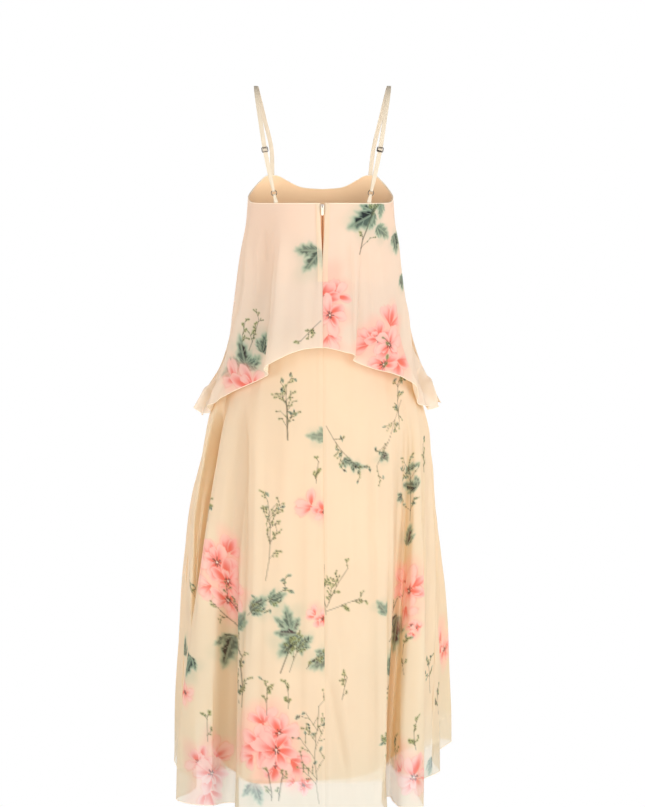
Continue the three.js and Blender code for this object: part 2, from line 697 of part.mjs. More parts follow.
for (const [name, side] of [['left', -1], ['right', 1]]) {
  const placeAt = strapPlaces(side);
  const wire = placeAt(STRAP_PATH.length);
  const ringRadius = (RING.outer - RING.wire) / 2;
  const lowWire = shifted(wire, 2 * ringRadius, 0, STRAP_AT_RING);
  addMesh(`strap_${name}`, strapBand(placeAt), finishes.strap);
  addMesh(`strap_tab_${name}`, tabBand(side, lowWire), finishes.strap);
  const torus = new THREE.TorusGeometry(ringRadius, RING.wire / 2, RING.sides, RING.steps);
  setOnStrap(addMesh(`ring_${name}`, torus, finishes.metal), shifted(wire, ringRadius, 0, 0));
  setOnStrap(addMesh(`adjuster_${name}`, adjusterGeometry(), finishes.metal), placeAt(STRAP_ADJUSTER_ROW));
}

export default group;
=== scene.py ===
import math
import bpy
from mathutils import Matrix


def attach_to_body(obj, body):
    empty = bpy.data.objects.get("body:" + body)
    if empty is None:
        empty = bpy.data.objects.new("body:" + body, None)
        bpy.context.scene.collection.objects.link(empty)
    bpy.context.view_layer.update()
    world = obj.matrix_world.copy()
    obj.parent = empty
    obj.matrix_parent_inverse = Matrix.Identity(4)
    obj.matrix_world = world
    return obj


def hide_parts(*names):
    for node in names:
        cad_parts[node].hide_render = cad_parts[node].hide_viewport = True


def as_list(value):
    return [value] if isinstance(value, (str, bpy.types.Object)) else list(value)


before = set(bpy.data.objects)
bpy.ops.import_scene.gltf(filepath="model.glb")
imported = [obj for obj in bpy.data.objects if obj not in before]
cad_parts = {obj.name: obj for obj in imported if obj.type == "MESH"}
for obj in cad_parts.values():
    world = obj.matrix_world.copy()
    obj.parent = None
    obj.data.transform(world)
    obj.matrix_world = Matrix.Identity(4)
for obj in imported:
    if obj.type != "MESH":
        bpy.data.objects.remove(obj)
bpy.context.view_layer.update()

from types import SimpleNamespace

import bmesh
import bpy
import numpy as np
from mathutils import Vector

# Printed chiffon maxi dress, seen from the back, in millimetres until a mesh is made
scene = bpy.context.scene
MM = 0.001
TURN = 2 * math.pi
BODY = "dress"
PULL_BODY = "zip_pull"

# Camera at the photograph's viewing angle, with its picture in pixels
PHOTO_SIZE = (645, 807)
PHOTO_MIDDLE = (322, 403.5)
HORIZON_PY = 200
FOCAL_PX = 1927
CAMERA_PLACE = (0, -3700, -215)
CAMERA_PITCH = math.atan((PHOTO_MIDDLE[1] - HORIZON_PY) / FOCAL_PX)
SENSOR = 36


def table(columns, *rows):
    """A table as one array for each named column."""
    return {name: np.array([row[i] for row in rows], float) for i, name in enumerate(columns.split())}


# Heights and gaps
WAIST_Z = -370
SKIRT_TOP_Z = -370.6
HEM_Z = -1338
LINING_HEM_Z = -1287
ZIP_TOP_Z = -223
ZIP_END_Z = -428
OVERLAY_LIFT = 1.65
CHAIN_HALF_GAP = 3.3

BODICE_SECTIONS = table(
    "z half back front shift square",
    (-370, 131, 96, 99, 0, 2.2),
    (-320, 133, 100, 112, -2, 2.3),
    (-265, 136, 105, 121, -3, 2.4),
    (-221, 136.5, 108, 123, -3.5, 2.5),
    (-160, 136.5, 108, 122, -3.5, 2.5),
)
TOP_EDGE = table(
    "at z",
    (0, -221), (55, -221), (72, -219), (86, -211), (105, -199), (124, -179),
    (133, -168.5), (140, -167.5), (147, -168.5), (155, -177), (167, -190), (180, -194),
)
SKIRT_SECTIONS = table(
    "z half back front shift square fold inset",
    (-1338, 272, 256, 264, -19, 2, 1, 31),
    (-1207, 269, 245, 253, -19, 2, 0.92, 29),
    (-1061, 265, 229, 236, -15, 2, 0.79, 27),
    (-926, 258, 210, 216, -14, 2, 0.62, 25),
    (-793, 243, 188, 193, -13, 2, 0.43, 22),
    (-710, 228, 172, 174, -8, 2, 0.3, 19),
    (-627, 211, 154, 155, -7, 2, 0.16, 16),
    (-560, 183, 136, 138, -6, 2.05, 0.09, 13),
    (-500, 159, 118, 121, -2, 2.1, 0.05, 10),
    (-470, 150, 110, 114, -1, 2.1, 0.03, 8),
    (-430, 141, 102, 107, 0, 2.15, 0.01, 5),
    (-370, 131, 96, 99, 0, 2.2, 0, 1.6),
)
SKIRT_FOLDS = table(
    "at x y",
    (-180, 12, 272), (-172, -29, 279), (-165, -64, 252), (-157, -103, 250), (-149, -144, 279),
    (-142, -183, 256), (-135, -201, 214), (-127, -232, 204), (-119, -265, 193), (-112, -284, 156),
    (-104, -300, 102), (-97, -292, 55), (-90, -280, 14), (-83, -262, -22), (-76, -244, -70),
    (-69, -252, -125), (-62, -277, -162), (-57, -247, -195), (-52, -208, -204), (-48, -186, -192),
    (-45, -166, -187), (-41, -156, -207), (-37, -161, -238), (-31, -138, -251), (-21, -95, -257),
    (-10, -44, -260), (0, 5, -262), (12, 51, -261), (24, 90, -258), (33, 112, -251),
    (40, 121, -238), (45, 114, -206), (50, 112, -170), (55, 126, -149), (59, 135, -186),
    (63, 145, -214), (67, 177, -216), (71, 190, -199), (75, 183, -158), (80, 181, -104),
    (85, 192, -50), (90, 216, -12), (96, 232, 14), (102, 228, 50), (108, 220, 94),
    (115, 232, 146), (121, 257, 198), (126, 265, 235), (133, 226, 245), (140, 195, 214),
    (148, 164, 233), (155, 130, 279), (163, 95, 272), (171, 58, 245),
)
LINING_FOLDS = table(
    "at x y",
    (-180, 0, 206), (-162, -68, 202), (-144, -133, 170), (-126, -185, 124), (-108, -220, 60),
    (-90, -213, 0), (-72, -197, -70), (-58, -183, -118), (-44, -160, -172), (-33, -140, -222),
    (-25, -115, -238), (-13, -60, -226), (0, 4, -212), (18, 60, -196), (32, 94, -165),
    (44, 115, -118), (56, 135, -60), (72, 162, -10), (90, 185, 20), (108, 183, 72),
    (126, 156, 129), (144, 113, 173), (162, 62, 202),
)
OVERLAY_FOLDS = table(
    "at x y z",
    (-180, 0, 172, -500), (-168, -40, 176, -504), (-158, -74, 160, -512), (-147, -112, 163, -528),
    (-137, -134, 138, -545), (-126, -172, 135, -566), (-116, -189, 103, -588), (-106, -226, 84, -612),
    (-98, -229, 50, -622), (-90, -245, 18, -617), (-82, -231, -8, -627), (-74, -220, -38, -616),
    (-66, -209, -66, -600), (-58, -171, -95, -574), (-50, -133, -110, -556), (-43, -112, -120, -545),
    (-38, -101, -132, -537), (-34, -108, -147, -527), (-29, -99, -155, -517), (-19, -65, -153, -499),
    (-10, -33, -151, -489), (0, 1, -150, -486), (9, 24, -151, -490), (17, 44, -153, -495),
    (22, 58, -152, -498), (25.5, 63, -144, -504), (29, 57, -135, -511), (35, 95, -137, -526),
    (44, 132, -121, -537), (53, 163, -100, -552), (59, 178, -86, -567), (64, 178, -76, -583),
    (71, 192, -58, -603), (80, 210, -22, -614), (90, 229, 14, -606), (98, 214, 46, -604),
    (106, 210, 80, -600), (116, 178, 100, -580), (126, 160, 134, -560), (137, 124, 138, -540),
    (147, 104, 164, -525), (158, 68, 160, -510), (168, 38, 176, -503),
)
OVERLAY_DROP = table(
    "down spread slit",
    (0, 0, 3.8), (0.12, 0.04, 3.6), (0.24, 0.12, 2.2), (0.4, 0.21, 0.15), (0.55, 0.31, 0.15),
    (0.7, 0.43, 0.15), (0.8, 0.58, 0.15), (0.9, 0.8, 0.15), (1, 1, 0.15),
)


# Sums that the rest is worked out with
def lerp(a, b, t):
    return a + (b - a) * t


def smooth(low, high, value):
    t = np.clip((value - low) / (high - low), 0, 1)
    return t * t * (3 - 2 * t)


def unit(vectors):
    return vectors / np.maximum(np.linalg.norm(vectors, axis=-1, keepdims=True), 1e-9)


def steps(points, axis=0):
    return np.linalg.norm(np.diff(points, axis=axis), axis=-1)


def running(lengths):
    return np.concatenate([[0], np.cumsum(lengths)])


def table_at(rows, key, values):
    """Every column of a table at places on its key column, on a smooth curve through the rows."""
    keys = rows[key]
    values = np.asarray(values, float)
    b = np.clip(np.searchsorted(keys, values), 1, len(keys) - 1)
    a = b - 1
    before = np.maximum(b - 2, 0)
    after = np.minimum(b + 1, len(keys) - 1)
    span = keys[b] - keys[a]
    t = np.clip((values - keys[a]) / span, 0, 1)
    found = {}
    for name, column in rows.items():
        leave = (column[b] - column[before]) / (keys[b] - keys[before]) * span
        arrive = (column[after] - column[a]) / (keys[after] - keys[a]) * span
        rise = column[b] - column[a]
        bend = 3 * rise - 2 * leave - arrive
        twist = leave + arrive - 2 * rise
        found[name] = column[a] + t * (leave + t * (bend + t * twist))
    return found


def closed_loop(rows):
    """A hem's rows with their run along the hem, repeated one turn past both ends."""
    step = np.hypot(np.diff(rows["x"], append=rows["x"][0]), np.diff(rows["y"], append=rows["y"][0]))
    turn = {"at": 360, "run": step.sum()}
    loop = {}
    for name, column in {**rows, "run": running(step[:-1])}.items():
        loop[name] = np.concatenate([column + turns * turn.get(name, 0) for turns in (-1, 0, 1)])
    return loop


def run_at(loop, at):
    return loop["run"][list(loop["at"]).index(at)]


def ring_point(section, at):
    """Point of a squared ellipse with its own depth to the back and to the front."""
    angle = np.radians(at)
    power = 2 / section["square"]
    across = np.sign(np.sin(angle)) * np.abs(np.sin(angle)) ** power
    along = np.sign(np.cos(angle)) * np.abs(np.cos(angle)) ** power
    depth = np.where(along > 0, section["back"], section["front"])
    return section["half"] * across + section["shift"] * np.abs(across), -depth * along


def grown(section, by):
    return {**section, **{name: section[name] + by for name in ("half", "back", "front")}}


def top_edge_z(at):
    return table_at(TOP_EDGE, "at", np.abs((at + 180) % 360 - 180))["z"]


# Surfaces
SKIRT_LOOP = closed_loop(SKIRT_FOLDS)
LINING_LOOP = closed_loop(LINING_FOLDS)
OVERLAY_LOOP = closed_loop(OVERLAY_FOLDS)


def bodice_surface(at, down):
    z = lerp(top_edge_z(at), WAIST_Z, down)
    x, y = ring_point(table_at(BODICE_SECTIONS, "z", z), at)
    return np.stack([x, y, z], -1)


def folded_surface(loop, run, z, lined):
    row = table_at(loop, "run", run)
    section = table_at(SKIRT_SECTIONS, "z", z)
    hem_section = {name: column[0] for name, column in SKIRT_SECTIONS.items()}
    here = ring_point(grown(section, -lined * section["inset"]), row["at"])
    hem = ring_point(grown(hem_section, -lined * hem_section["inset"]), row["at"])
    x = here[0] + section["fold"] * (row["x"] - hem[0])
    y = here[1] + section["fold"] * (row["y"] - hem[1])
    return np.stack([x, y, z], -1)


def skirt_surface(run, z):
    return folded_surface(SKIRT_LOOP, run, z, 0)


def lining_surface(run, z):
    return folded_surface(LINING_LOOP, run, z, 1)


def overlay_surface(run, down):
    row = table_at(OVERLAY_LOOP, "run", run)
    top_z = top_edge_z(row["at"])
    x, y = ring_point(grown(table_at(BODICE_SECTIONS, "z", top_z), OVERLAY_LIFT), row["at"])
    spread = table_at(OVERLAY_DROP, "down", down)["spread"]
    return np.stack([lerp(x, row["x"], spread), lerp(y, row["y"], spread), lerp(top_z, row["z"], down)], -1)


def loop_seams(loop):
    left, middle, right = (run_at(loop, at) for at in (-90, 0, 90))
    round_run = run_at(loop, 180) - run_at(loop, -180)
    return {"back_left": (left, middle), "back_right": (middle, right), "front": (right, left + round_run)}


# Layers, with the columns and rows of their back and front panels' grids
BODICE_SEAMS = {"back_left": (-90, 0), "back_right": (0, 90), "front": (90, 270)}
LAYERS = {
    "bodice": dict(surface=bodice_surface, seams=BODICE_SEAMS, down=(0, 1), back=(60, 48), front=(90, 48),
                   slot="lining", hem=0.7, rests_on=[]),
    "skirt": dict(surface=skirt_surface, seams=loop_seams(SKIRT_LOOP), down=(SKIRT_TOP_Z, HEM_Z),
                  back=(216, 452), front=(240, 270), slot="chiffon", hem=0.6, rests_on=["bodice_front"]),
    "lining": dict(surface=lining_surface, seams=loop_seams(LINING_LOOP), down=(SKIRT_TOP_Z, LINING_HEM_Z),
                   back=(70, 110), front=(100, 110), slot="lining", hem=0.6, rests_on=["bodice_front"]),
    "overlay": dict(surface=overlay_surface, seams=loop_seams(OVERLAY_LOOP), down=(0, 1),
                    back=(220, 240), front=(170, 150), slot="chiffon", hem=0.6, rests_on=["bodice_front"]),
}
PANEL_NAMES = ("back_left", "back_right", "front")
FACING_SHARE = 0.75
SLIT_REACH = 14


def spaced_runs(surface, seams, count, down, facing):
    """Places of the columns, closer together where the cloth faces the back."""
    fine = np.linspace(*seams, 6 * count)
    points = surface(fine, np.full_like(fine, down))
    place = running(facing * np.abs(np.diff(points[:, 0])) + (1 - facing) * steps(points))
    return np.interp(np.linspace(0, place[-1], count + 1), place, fine)


def cloth_places(points, name):
    """Places on the flat cloth: arc across it from its middle seam, and length down it."""
    rows, columns = points.shape[:2]
    arc = np.concatenate([np.zeros((rows, 1)), np.cumsum(steps(points, 1), 1)], 1)
    length = np.concatenate([np.zeros((1, columns)), np.cumsum(steps(points), 0)], 0)
    origin = {"back_left": columns - 1, "back_right": 0, "front": columns // 2}[name]
    return arc - arc[:, origin:origin + 1], length


def centre_gap(layer, down, z):
    if layer == "overlay":
        return table_at(OVERLAY_DROP, "down", down)["slit"]
    if layer == "bodice":
        return np.full_like(z, CHAIN_HALF_GAP)
    return CHAIN_HALF_GAP * (z >= ZIP_END_Z)


def side_of(name):
    return -1 if name == "back_left" else 1


def on_photo(points):
    """Pixel place in the photograph's frame, and the depth from the camera."""
    out = points[..., 1] - CAMERA_PLACE[1]
    rise = points[..., 2] - CAMERA_PLACE[2]
    depth = out * math.cos(CAMERA_PITCH) - rise * math.sin(CAMERA_PITCH)
    drop = -out * math.sin(CAMERA_PITCH) - rise * math.cos(CAMERA_PITCH)
    px = PHOTO_MIDDLE[0] + FOCAL_PX * points[..., 0] / depth
    py = PHOTO_MIDDLE[1] + FOCAL_PX * drop / depth
    return px, py, depth


def panel_grid(layer, name):
    """One panel: its points, their directions out of it and their places on the flat cloth."""
    data = LAYERS[layer]
    surface = data["surface"]
    front = name == "front"
    columns, rows = data["front" if front else "back"]
    downs = np.linspace(*data["down"], rows + 1)
    runs = spaced_runs(surface, data["seams"][name], columns, downs[-1], 0 if front else FACING_SHARE)
    run, down = np.meshgrid(runs, downs)
    points = surface(run, down)
    along = np.gradient(points, axis=1)
    arc, length = cloth_places(points, name)
    if not front:
        gap = centre_gap(layer, down, points[..., 2]) * np.exp(-np.abs(arc) / SLIT_REACH)
        points = points + side_of(name) * unit(along) * gap[..., None]
    normal = unit(np.cross(np.gradient(points, axis=0), along))
    level = np.zeros_like(arc)
    # fold holds each point's share of the painted fold shade
    return SimpleNamespace(layer=layer, name=name, points=points, normal=normal, arc=arc, length=length,
                           photo=on_photo(points), lift=level, fold=level, printed=data["slot"] == "chiffon")


panels = {(layer, name): panel_grid(layer, name) for layer in LAYERS for name in PANEL_NAMES}

# Pixels that count as one place, and the cost of depth and of the front panel in pixels
SAME_PLACE = 1.5
DEPTH_COST = 0.02
FRONT_COST = 2.5


def find_place(layer, px, py):
    """Panel and cloth place of a layer that show at a pixel of the photograph, the back before the front."""
    best = None
    for name in PANEL_NAMES:
        panel = panels[layer, name]
        x, y, depth = panel.photo
        away = np.hypot(x - px, y - py)
        score = np.where(away < away.min() + SAME_PLACE, depth, np.inf)
        spot = np.unravel_index(np.argmin(score), score.shape)
        cost = away.min() + DEPTH_COST * depth[spot] + FRONT_COST * (name == "front")
        if best is None or cost < best[0]:
            best = (cost, panel, panel.arc[spot], panel.length[spot])
    return best[1:]


def by_layer(groups):
    """Numbered rows of a table that is grouped by layer."""
    return enumerate((layer, *row) for layer, rows in groups.items() for row in rows)


# Creases along pixels of the photograph: width to the left and right of the line, and depth
CREASES = {
    "overlay": [
        ([(279, 236), (273, 312), (265, 364)], 4, 15, 4.6),
        ([(273, 242), (267, 312), (259, 362)], 10, 4, -4.8),
        ([(262, 228), (262, 262)], 8, 5, -2.4),
        ([(256, 240), (254, 300)], 6, 6, 2.2),
        ([(249, 212), (244.5, 283), (240, 311), (228, 350), (211, 403)], 4, 14, 6.0),
        ([(246, 212), (240, 283), (235, 311), (222, 350), (204, 403)], 16, 4, -6.0),
        ([(270, 214), (262, 290), (250, 352)], 16, 12, -3.4),
        ([(203, 372), (201, 414)], 9, 12, -7.0),
        ([(197, 384), (198, 414)], 12, 9, 7.0),
        ([(207, 384), (207, 414)], 4, 4, 2.6),
        ([(424, 366), (427, 405)], 12, 10, -8.0),
        ([(433, 376), (435, 411)], 10, 14, 8.0),
        ([(302, 225), (304, 348)], 12, 16, 1.8),
        ([(313, 262), (312, 348)], 9, 5, -1.6),
        ([(352, 236), (356, 354)], 7, 4, -2.8),
        ([(342, 225), (340, 350)], 13, 9, 1.8),
        ([(378, 228), (386, 368)], 9, 14, 2.0),
        ([(366, 240), (368, 366)], 10, 5, -1.8),
        ([(393, 212), (406, 297), (410, 344), (416, 388)], 14, 4, 6.0),
        ([(397, 212), (411, 297), (416, 344), (422, 388)], 4, 16, -6.0),
    ],
    "skirt": [
        ([(226, 404), (214, 461), (203.5, 542), (194, 618)], 3, 16, 6.0),
        ([(225, 398), (215, 440)], 3, 4, -2.2),
        ([(241.5, 408), (244, 474), (243, 553), (239, 658), (235, 790)], 16, 6, -7.0),
        ([(252, 412), (254, 474), (253, 560), (250, 660)], 6, 14, 3.0),
        ([(235, 590), (234, 660), (231, 730), (227, 806)], 34, 6, -12.0),
        ([(213, 672), (212, 800)], 9, 3, 4.0),
        ([(327, 672), (346, 772)], 5, 9, -2.8),
        ([(336, 640), (354, 796)], 9, 6, 2.2),
        ([(284, 405), (280, 560), (273, 802)], 14, 22, 2.8),
        ([(301, 430), (300, 600), (297, 802)], 15, 9, -2.4),
        ([(262, 450), (256, 800)], 10, 7, -2.0),
        ([(346, 430), (352, 600), (364, 800)], 22, 13, 2.8),
        ([(372, 420), (374, 560), (376, 800)], 9, 6, -3.0),
        ([(388, 500), (388, 600), (386, 700), (386, 802)], 13, 4, 4.4),
        ([(391, 560), (390, 650), (389, 750), (388, 806)], 6, 16, -9.0),
        ([(403, 580), (402, 660), (401, 760)], 6, 12, 4.5),
        ([(410, 408), (408, 546)], 8, 5, -2.6),
        ([(401, 410), (400, 540)], 10, 7, 2.6),
        ([(420.5, 406), (420.5, 590)], 12, 4, 4.0),
        ([(425, 410), (426, 590)], 5, 8, -3.6),
        ([(228, 470), (220, 560), (212, 660)], 10, 12, 2.2),
    ],
}
# Deep folds along cloth places: arcs at lengths, width to both sides, and the move across and away
LEFT_LENGTHS = (215, 288, 381, 458, 529, 640, 960)
RIGHT_LENGTHS = (250, 322, 379, 453, 527, 633, 748, 860, 1100)
TUCKS = [
    ("skirt", "back_left", (-206, -228, -252, -271, -287, -318, -385), LEFT_LENGTHS, 22, 18, 22, 44),
    ("skirt", "back_left", (-250, -274, -318, -346, -368, -410, -480), LEFT_LENGTHS, 30, 22, -7, -48),
    ("lining", "back_left", (-196, -216, -238, -255, -268, -292, -340), LEFT_LENGTHS, 45, 40, 14, 46),
    ("skirt", "back_right", (212, 221, 231, 245, 262, 290, 313, 333, 353), RIGHT_LENGTHS, 4, 26, -7, 19),
]
CREASE_FADE = 0.84
TUCK_FADE = 0.48
TUCK_CLEAR = 25
# Crease depth and tuck move at which the painted fold shade is full
CREASE_FULL_SHADE = 14
TUCK_FULL_SHADE = 40
RIPPLES = ((74, 0.9), (43, 0.55), (27, 0.3))
RIPPLE_FADE = 160
HIDDEN_CREASES = 16
FLUTTER_REACH = 75
FLUTTER_SPREAD = 110
FLUTTER_DEPTH = 7
FLUTTER_WAVE = 46
SEAM_DIP = (0.9, 2.2)
SEAM_RIDGE = (0.45, 7, 3)
HIDDEN_CREASE_SEED = 50


def crease_shape(panel, places, left, right, fade):
    """Height from 0 to 1 of a crease along a line through cloth places."""
    away = np.full(panel.arc.shape, np.inf)
    side = np.zeros_like(away)
    run = np.zeros_like(away)
    reach = 0
    for (arc0, length0), (arc1, length1) in zip(places[:-1], places[1:]):
        step = math.hypot(arc1 - arc0, length1 - length0)
        ux, uy = (arc1 - arc0) / step, (length1 - length0) / step
        u, v = panel.arc - arc0, panel.length - length0
        s = u * ux + v * uy
        t = u * uy - v * ux
        off = np.hypot(s - np.clip(s, 0, step), t)
        closer = off < away
        away = np.where(closer, off, away)
        side = np.where(closer, t, side)
        run = np.where(closer, reach + s, run)
        reach += step
    share = smooth(-0.06, 0.2, run / reach) * (1 - smooth(fade, 1.08, run / reach))
    return share * np.exp(-(side / np.where(side < 0, left, right)) ** 2)


def crease_panel(panel, places, left, right, depth):
    """Moves a panel's points out of it along a line through cloth places."""
    shape = crease_shape(panel, places, left, right, CREASE_FADE)
    panel.lift = panel.lift + depth * shape
    # Troughs also get painted shade in their colour, more the deeper they are
    panel.fold = np.maximum(panel.fold, -depth / CREASE_FULL_SHADE * shape)


def tuck_panel(panel, places, left, right, across, away):
    """Moves points sideways and away from the camera along a line, and leaves the seams in place."""
    from_seam = np.minimum(panel.arc - panel.arc[:, :1], panel.arc[:, -1:] - panel.arc)
    shape = smooth(0, TUCK_CLEAR, from_seam) * crease_shape(panel, places, left, right, TUCK_FADE)
    panel.points = panel.points + shape[..., None] * np.array([across, away, 0])
    # Cloth moved away from the camera also gets painted shade in its colour
    panel.fold = np.maximum(panel.fold, min(away / TUCK_FULL_SHADE, 1) * shape)


def ripple_panel(panel, seed):
    """Shallow uneven waves that run down the cloth and fade towards its top edge."""
    rng = np.random.default_rng(seed)
    fade = smooth(0, RIPPLE_FADE, panel.length)
    for wave, depth in RIPPLES:
        phase, lean, bend = rng.uniform(0, TURN), rng.uniform(-0.06, 0.06), rng.uniform(90, 170)
        across = panel.arc + lean * panel.length + 7 * np.sin(panel.length / bend + phase)
        patch = 0.6 + 0.4 * np.sin(panel.arc / 131 + panel.length / 217 + phase)
        panel.lift = panel.lift + depth * fade * patch * np.sin(TURN * across / wave + phase)


def crease_hidden(panel, seed):
    """Uneven long creases on a side that the photograph doesn't show."""
    rng = np.random.default_rng(seed)
    last = len(panel.arc) - 1
    for _ in range(HIDDEN_CREASES):
        start, end, middle = rng.uniform(0.1, 0.45), rng.uniform(0.8, 1.05), rng.uniform(-1, 1)
        places = []
        for down in (start, 0.5 * (start + end), end):
            widest = np.abs(panel.arc[min(int(down * last), last)]).max()
            places.append((widest * (middle + rng.uniform(-0.02, 0.02)), down * panel.length.max()))
        left, right = rng.uniform(7, 18), rng.uniform(7, 18)
        crease_panel(panel, places, left, right, rng.choice([-1, 1]) * rng.uniform(3, 6.5))


def flutter_panel(panel):
    """Waves in the loose hem at an outer tier's long side point."""
    tip = panel.arc[:, np.argmin(panel.points[-1, :, 2])][:, None]
    off = panel.arc - tip
    fade = smooth(FLUTTER_REACH, 0, panel.length[-1:] - panel.length)
    fade = fade * smooth(FLUTTER_SPREAD, 0.4 * FLUTTER_SPREAD, np.abs(off))
    panel.lift = panel.lift + FLUTTER_DEPTH * fade * np.sin(TURN * off / FLUTTER_WAVE)


def seam_panel(panel):
    """Pulls the cloth in at its seams, with a low ridge of seam allowance beside each."""
    dip, dip_width = SEAM_DIP
    ridge, ridge_in, ridge_width = SEAM_RIDGE
    for edge in (panel.arc[:, :1], panel.arc[:, -1:]):
        away = np.abs(panel.arc - edge)
        panel.lift = panel.lift - dip * np.exp(-(away / dip_width) ** 2)
        panel.lift = panel.lift + ridge * np.exp(-((away - ridge_in) / ridge_width) ** 2)


for count, panel in enumerate(panels.values()):
    if panel.printed:
        ripple_panel(panel, count)
        seam_panel(panel)
    if panel.layer == "overlay" and panel.name != "front":
        flutter_panel(panel)
    if panel.printed and panel.name == "front":
        crease_hidden(panel, HIDDEN_CREASE_SEED + count)
for _, (layer, pixels, left, right, depth) in by_layer(CREASES):
    found = [find_place(layer, px, py) for px, py in pixels]
    panel = found[0][0]
    crease_panel(panel, [place for other, *place in found if other is panel], left, right, depth)
for panel in panels.values():
    panel.points = panel.points + panel.normal * panel.lift[..., None]
for layer, name, arcs, lengths, left, right, across, away in TUCKS:
    tuck_panel(panels[layer, name], list(zip(arcs, lengths)), left, right, across, away)
for panel in panels.values():
    panel.arc, panel.length = cloth_places(panel.points, panel.name)
    panel.photo = on_photo(panel.points)


# Print
def linear(red, green, blue):
    """A colour given as on the photograph, 0 to 255, as light values."""
    value = np.array([red, green, blue], float) / 255
    return np.where(value <= 0.04045, value / 12.92, ((value + 0.055) / 1.055) ** 2.4)


CREAM = linear(240, 234, 208)
OVERLAY_CREAM = linear(241, 233, 217)
FACING_CREAM = linear(247, 239, 212)
BLUSH = linear(254, 212, 196)
PALE_PETAL = linear(254, 220, 212)
PINK_PETAL = linear(244, 148, 148)
CORAL = linear(240, 112, 88)
STAMEN = linear(44, 54, 50)
STAMEN_WHITE = linear(254, 248, 236)
TWIG = linear(78, 88, 72)
MINT = linear(176, 206, 182)
TEAL = linear(86, 134, 122)
INK = linear(36, 48, 54)
PLUM = linear(70, 54, 66)
BUD = linear(172, 192, 132)
# Painted shade for cloth deep in folds, as a darker, warmer tint of its colour
PAINTED_FOLD_SHADE = np.array([0.85, 0.81, 0.75])
PETALS = 6
BLOSSOM = 37
CLUSTER_FILL = 2.5
CLUSTER_TURN = 2.4
SPOKES = 9
STAMEN_THICK = 0.95
TWIG_THICK = 0.75
TWIG_STEPS = 3

for panel in panels.values():
    ground = OVERLAY_CREAM if panel.layer == "overlay" else CREAM
    panel.colour = np.tile(ground, panel.arc.shape + (1,))
    panel.least = panel.length.min(1)
    panel.most = panel.length.max(1)


def near(panel, place, reach):
    """Points within reach of a cloth place, with their offsets from it to the right and up."""
    rows = np.nonzero((panel.least < place[1] + reach) & (panel.most > place[1] - reach))[0]
    first, last = (rows[0], rows[-1] + 1) if len(rows) else (0, 0)
    u = panel.arc[first:last] - place[0]
    v = place[1] - panel.length[first:last]
    row, column = np.nonzero(np.hypot(u, v) < reach)
    return (row + first, column), u[row, column], v[row, column]


def ray(angle, length):
    return length * math.cos(angle), length * math.sin(angle)


def beside(place, right, up):
    return place[0] + right, place[1] - up


def turned_to(u, v, angle, length):
    """Offsets along and across a direction, as shares of a length."""
    along = (u * math.cos(angle) + v * math.sin(angle)) / length
    across = (v * math.cos(angle) - u * math.sin(angle)) / length
    return along, across


def wash(panel, chosen, amount, colour):
    old = panel.colour[chosen]
    panel.colour[chosen] = old + np.clip(amount, 0, 1)[:, None] * (colour - old)


def paint_blot(panel, place, size, colour, amount, rng):
    """Soft uneven patch of thin colour."""
    chosen, u, v = near(panel, place, 1.4 * size)
    angle = np.arctan2(v, u)
    p, q = rng.uniform(0, TURN, 2)
    edge = 1 + 0.18 * np.sin(3 * angle + p) + 0.1 * np.sin(5 * angle + q)
    wash(panel, chosen, amount * smooth(1, 0.35, np.hypot(u, v) / (size * edge)), colour)


def paint_petal(panel, place, angle, length, width, rng, tip, depth):
    """Broad petal: coral from its base to a depth, pink streaks, a pale edge and a tip that may fade out."""
    chosen, u, v = near(panel, place, 1.2 * length)
    along, across = turned_to(u, v, angle, length)
    p, q, r = rng.uniform(0, TURN, 3)
    bow = across - 0.12 * math.sin(p) * along ** 2
    t = np.clip(along + 0.07 * np.sin(7 * bow + p) + 0.03 * np.sin(19 * bow + q), 0, 1)
    half = width * t ** 0.7 * (1 - t ** 4) ** 0.6
    room = half - np.abs(bow)
    rim = smooth(1.1, 0.9, along) * smooth(0.1, 0.4, along) * smooth(-0.09, 0.01, room)
    wash(panel, chosen, 0.32 * rim, PINK_PETAL)
    cover = smooth(0, 0.05, room) * lerp(1, tip, smooth(0.55, 1, t))
    wash(panel, chosen, cover, PALE_PETAL)
    inner = cover * smooth(0, 0.5, room / np.maximum(half, 0.02))
    reach = t + 0.1 + 0.1 * np.cos(bow / (0.2 + t) * 11 + r)
    wash(panel, chosen, 0.9 * inner * smooth(depth + 0.4, depth - 0.35, reach), PINK_PETAL)
    wash(panel, chosen, 0.8 * inner * smooth(depth + 0.1, depth - 0.5, reach), CORAL)


def paint_stroke(panel, place, start, end, thick, colour, amount):
    """Straight brush stroke between two offsets from a place, with soft edges."""
    (u0, v0), (u1, v1) = start, end
    du, dv = 0.5 * (u1 - u0), 0.5 * (v1 - v0)
    middle = beside(place, 0.5 * (u0 + u1), 0.5 * (v0 + v1))
    chosen, u, v = near(panel, middle, math.hypot(du, dv) + 3 * thick)
    t = np.clip((u * du + v * dv) / max(du * du + dv * dv, 1e-6), -1, 1)
    away = np.hypot(u - t * du, v - t * dv)
    wash(panel, chosen, amount * smooth(1.6 * thick, 0.4 * thick, away), colour)


def paint_dab(panel, centre, angle, length, width, colour, amount=1.0):
    """Small oval dab."""
    chosen, u, v = near(panel, centre, length)
    along, across = turned_to(u, v, angle, 0.5)
    wash(panel, chosen, amount * smooth(1.25, 0.6, np.hypot(along / length, across / width)), colour)


def paint_stamens(panel, place, size, rng):
    """Star of dark strokes round a white middle."""
    thick = min(STAMEN_THICK, 0.035 * size)
    for angle in np.arange(SPOKES) * TURN / SPOKES + rng.uniform(-0.3, 0.3, SPOKES):
        outer = size * rng.uniform(0.13, 0.24)
        paint_stroke(panel, place, ray(angle, 0.05 * size), ray(angle, outer), thick, STAMEN, 0.75)
    paint_dab(panel, place, 0, 0.1 * size, 0.1 * size, STAMEN_WHITE)


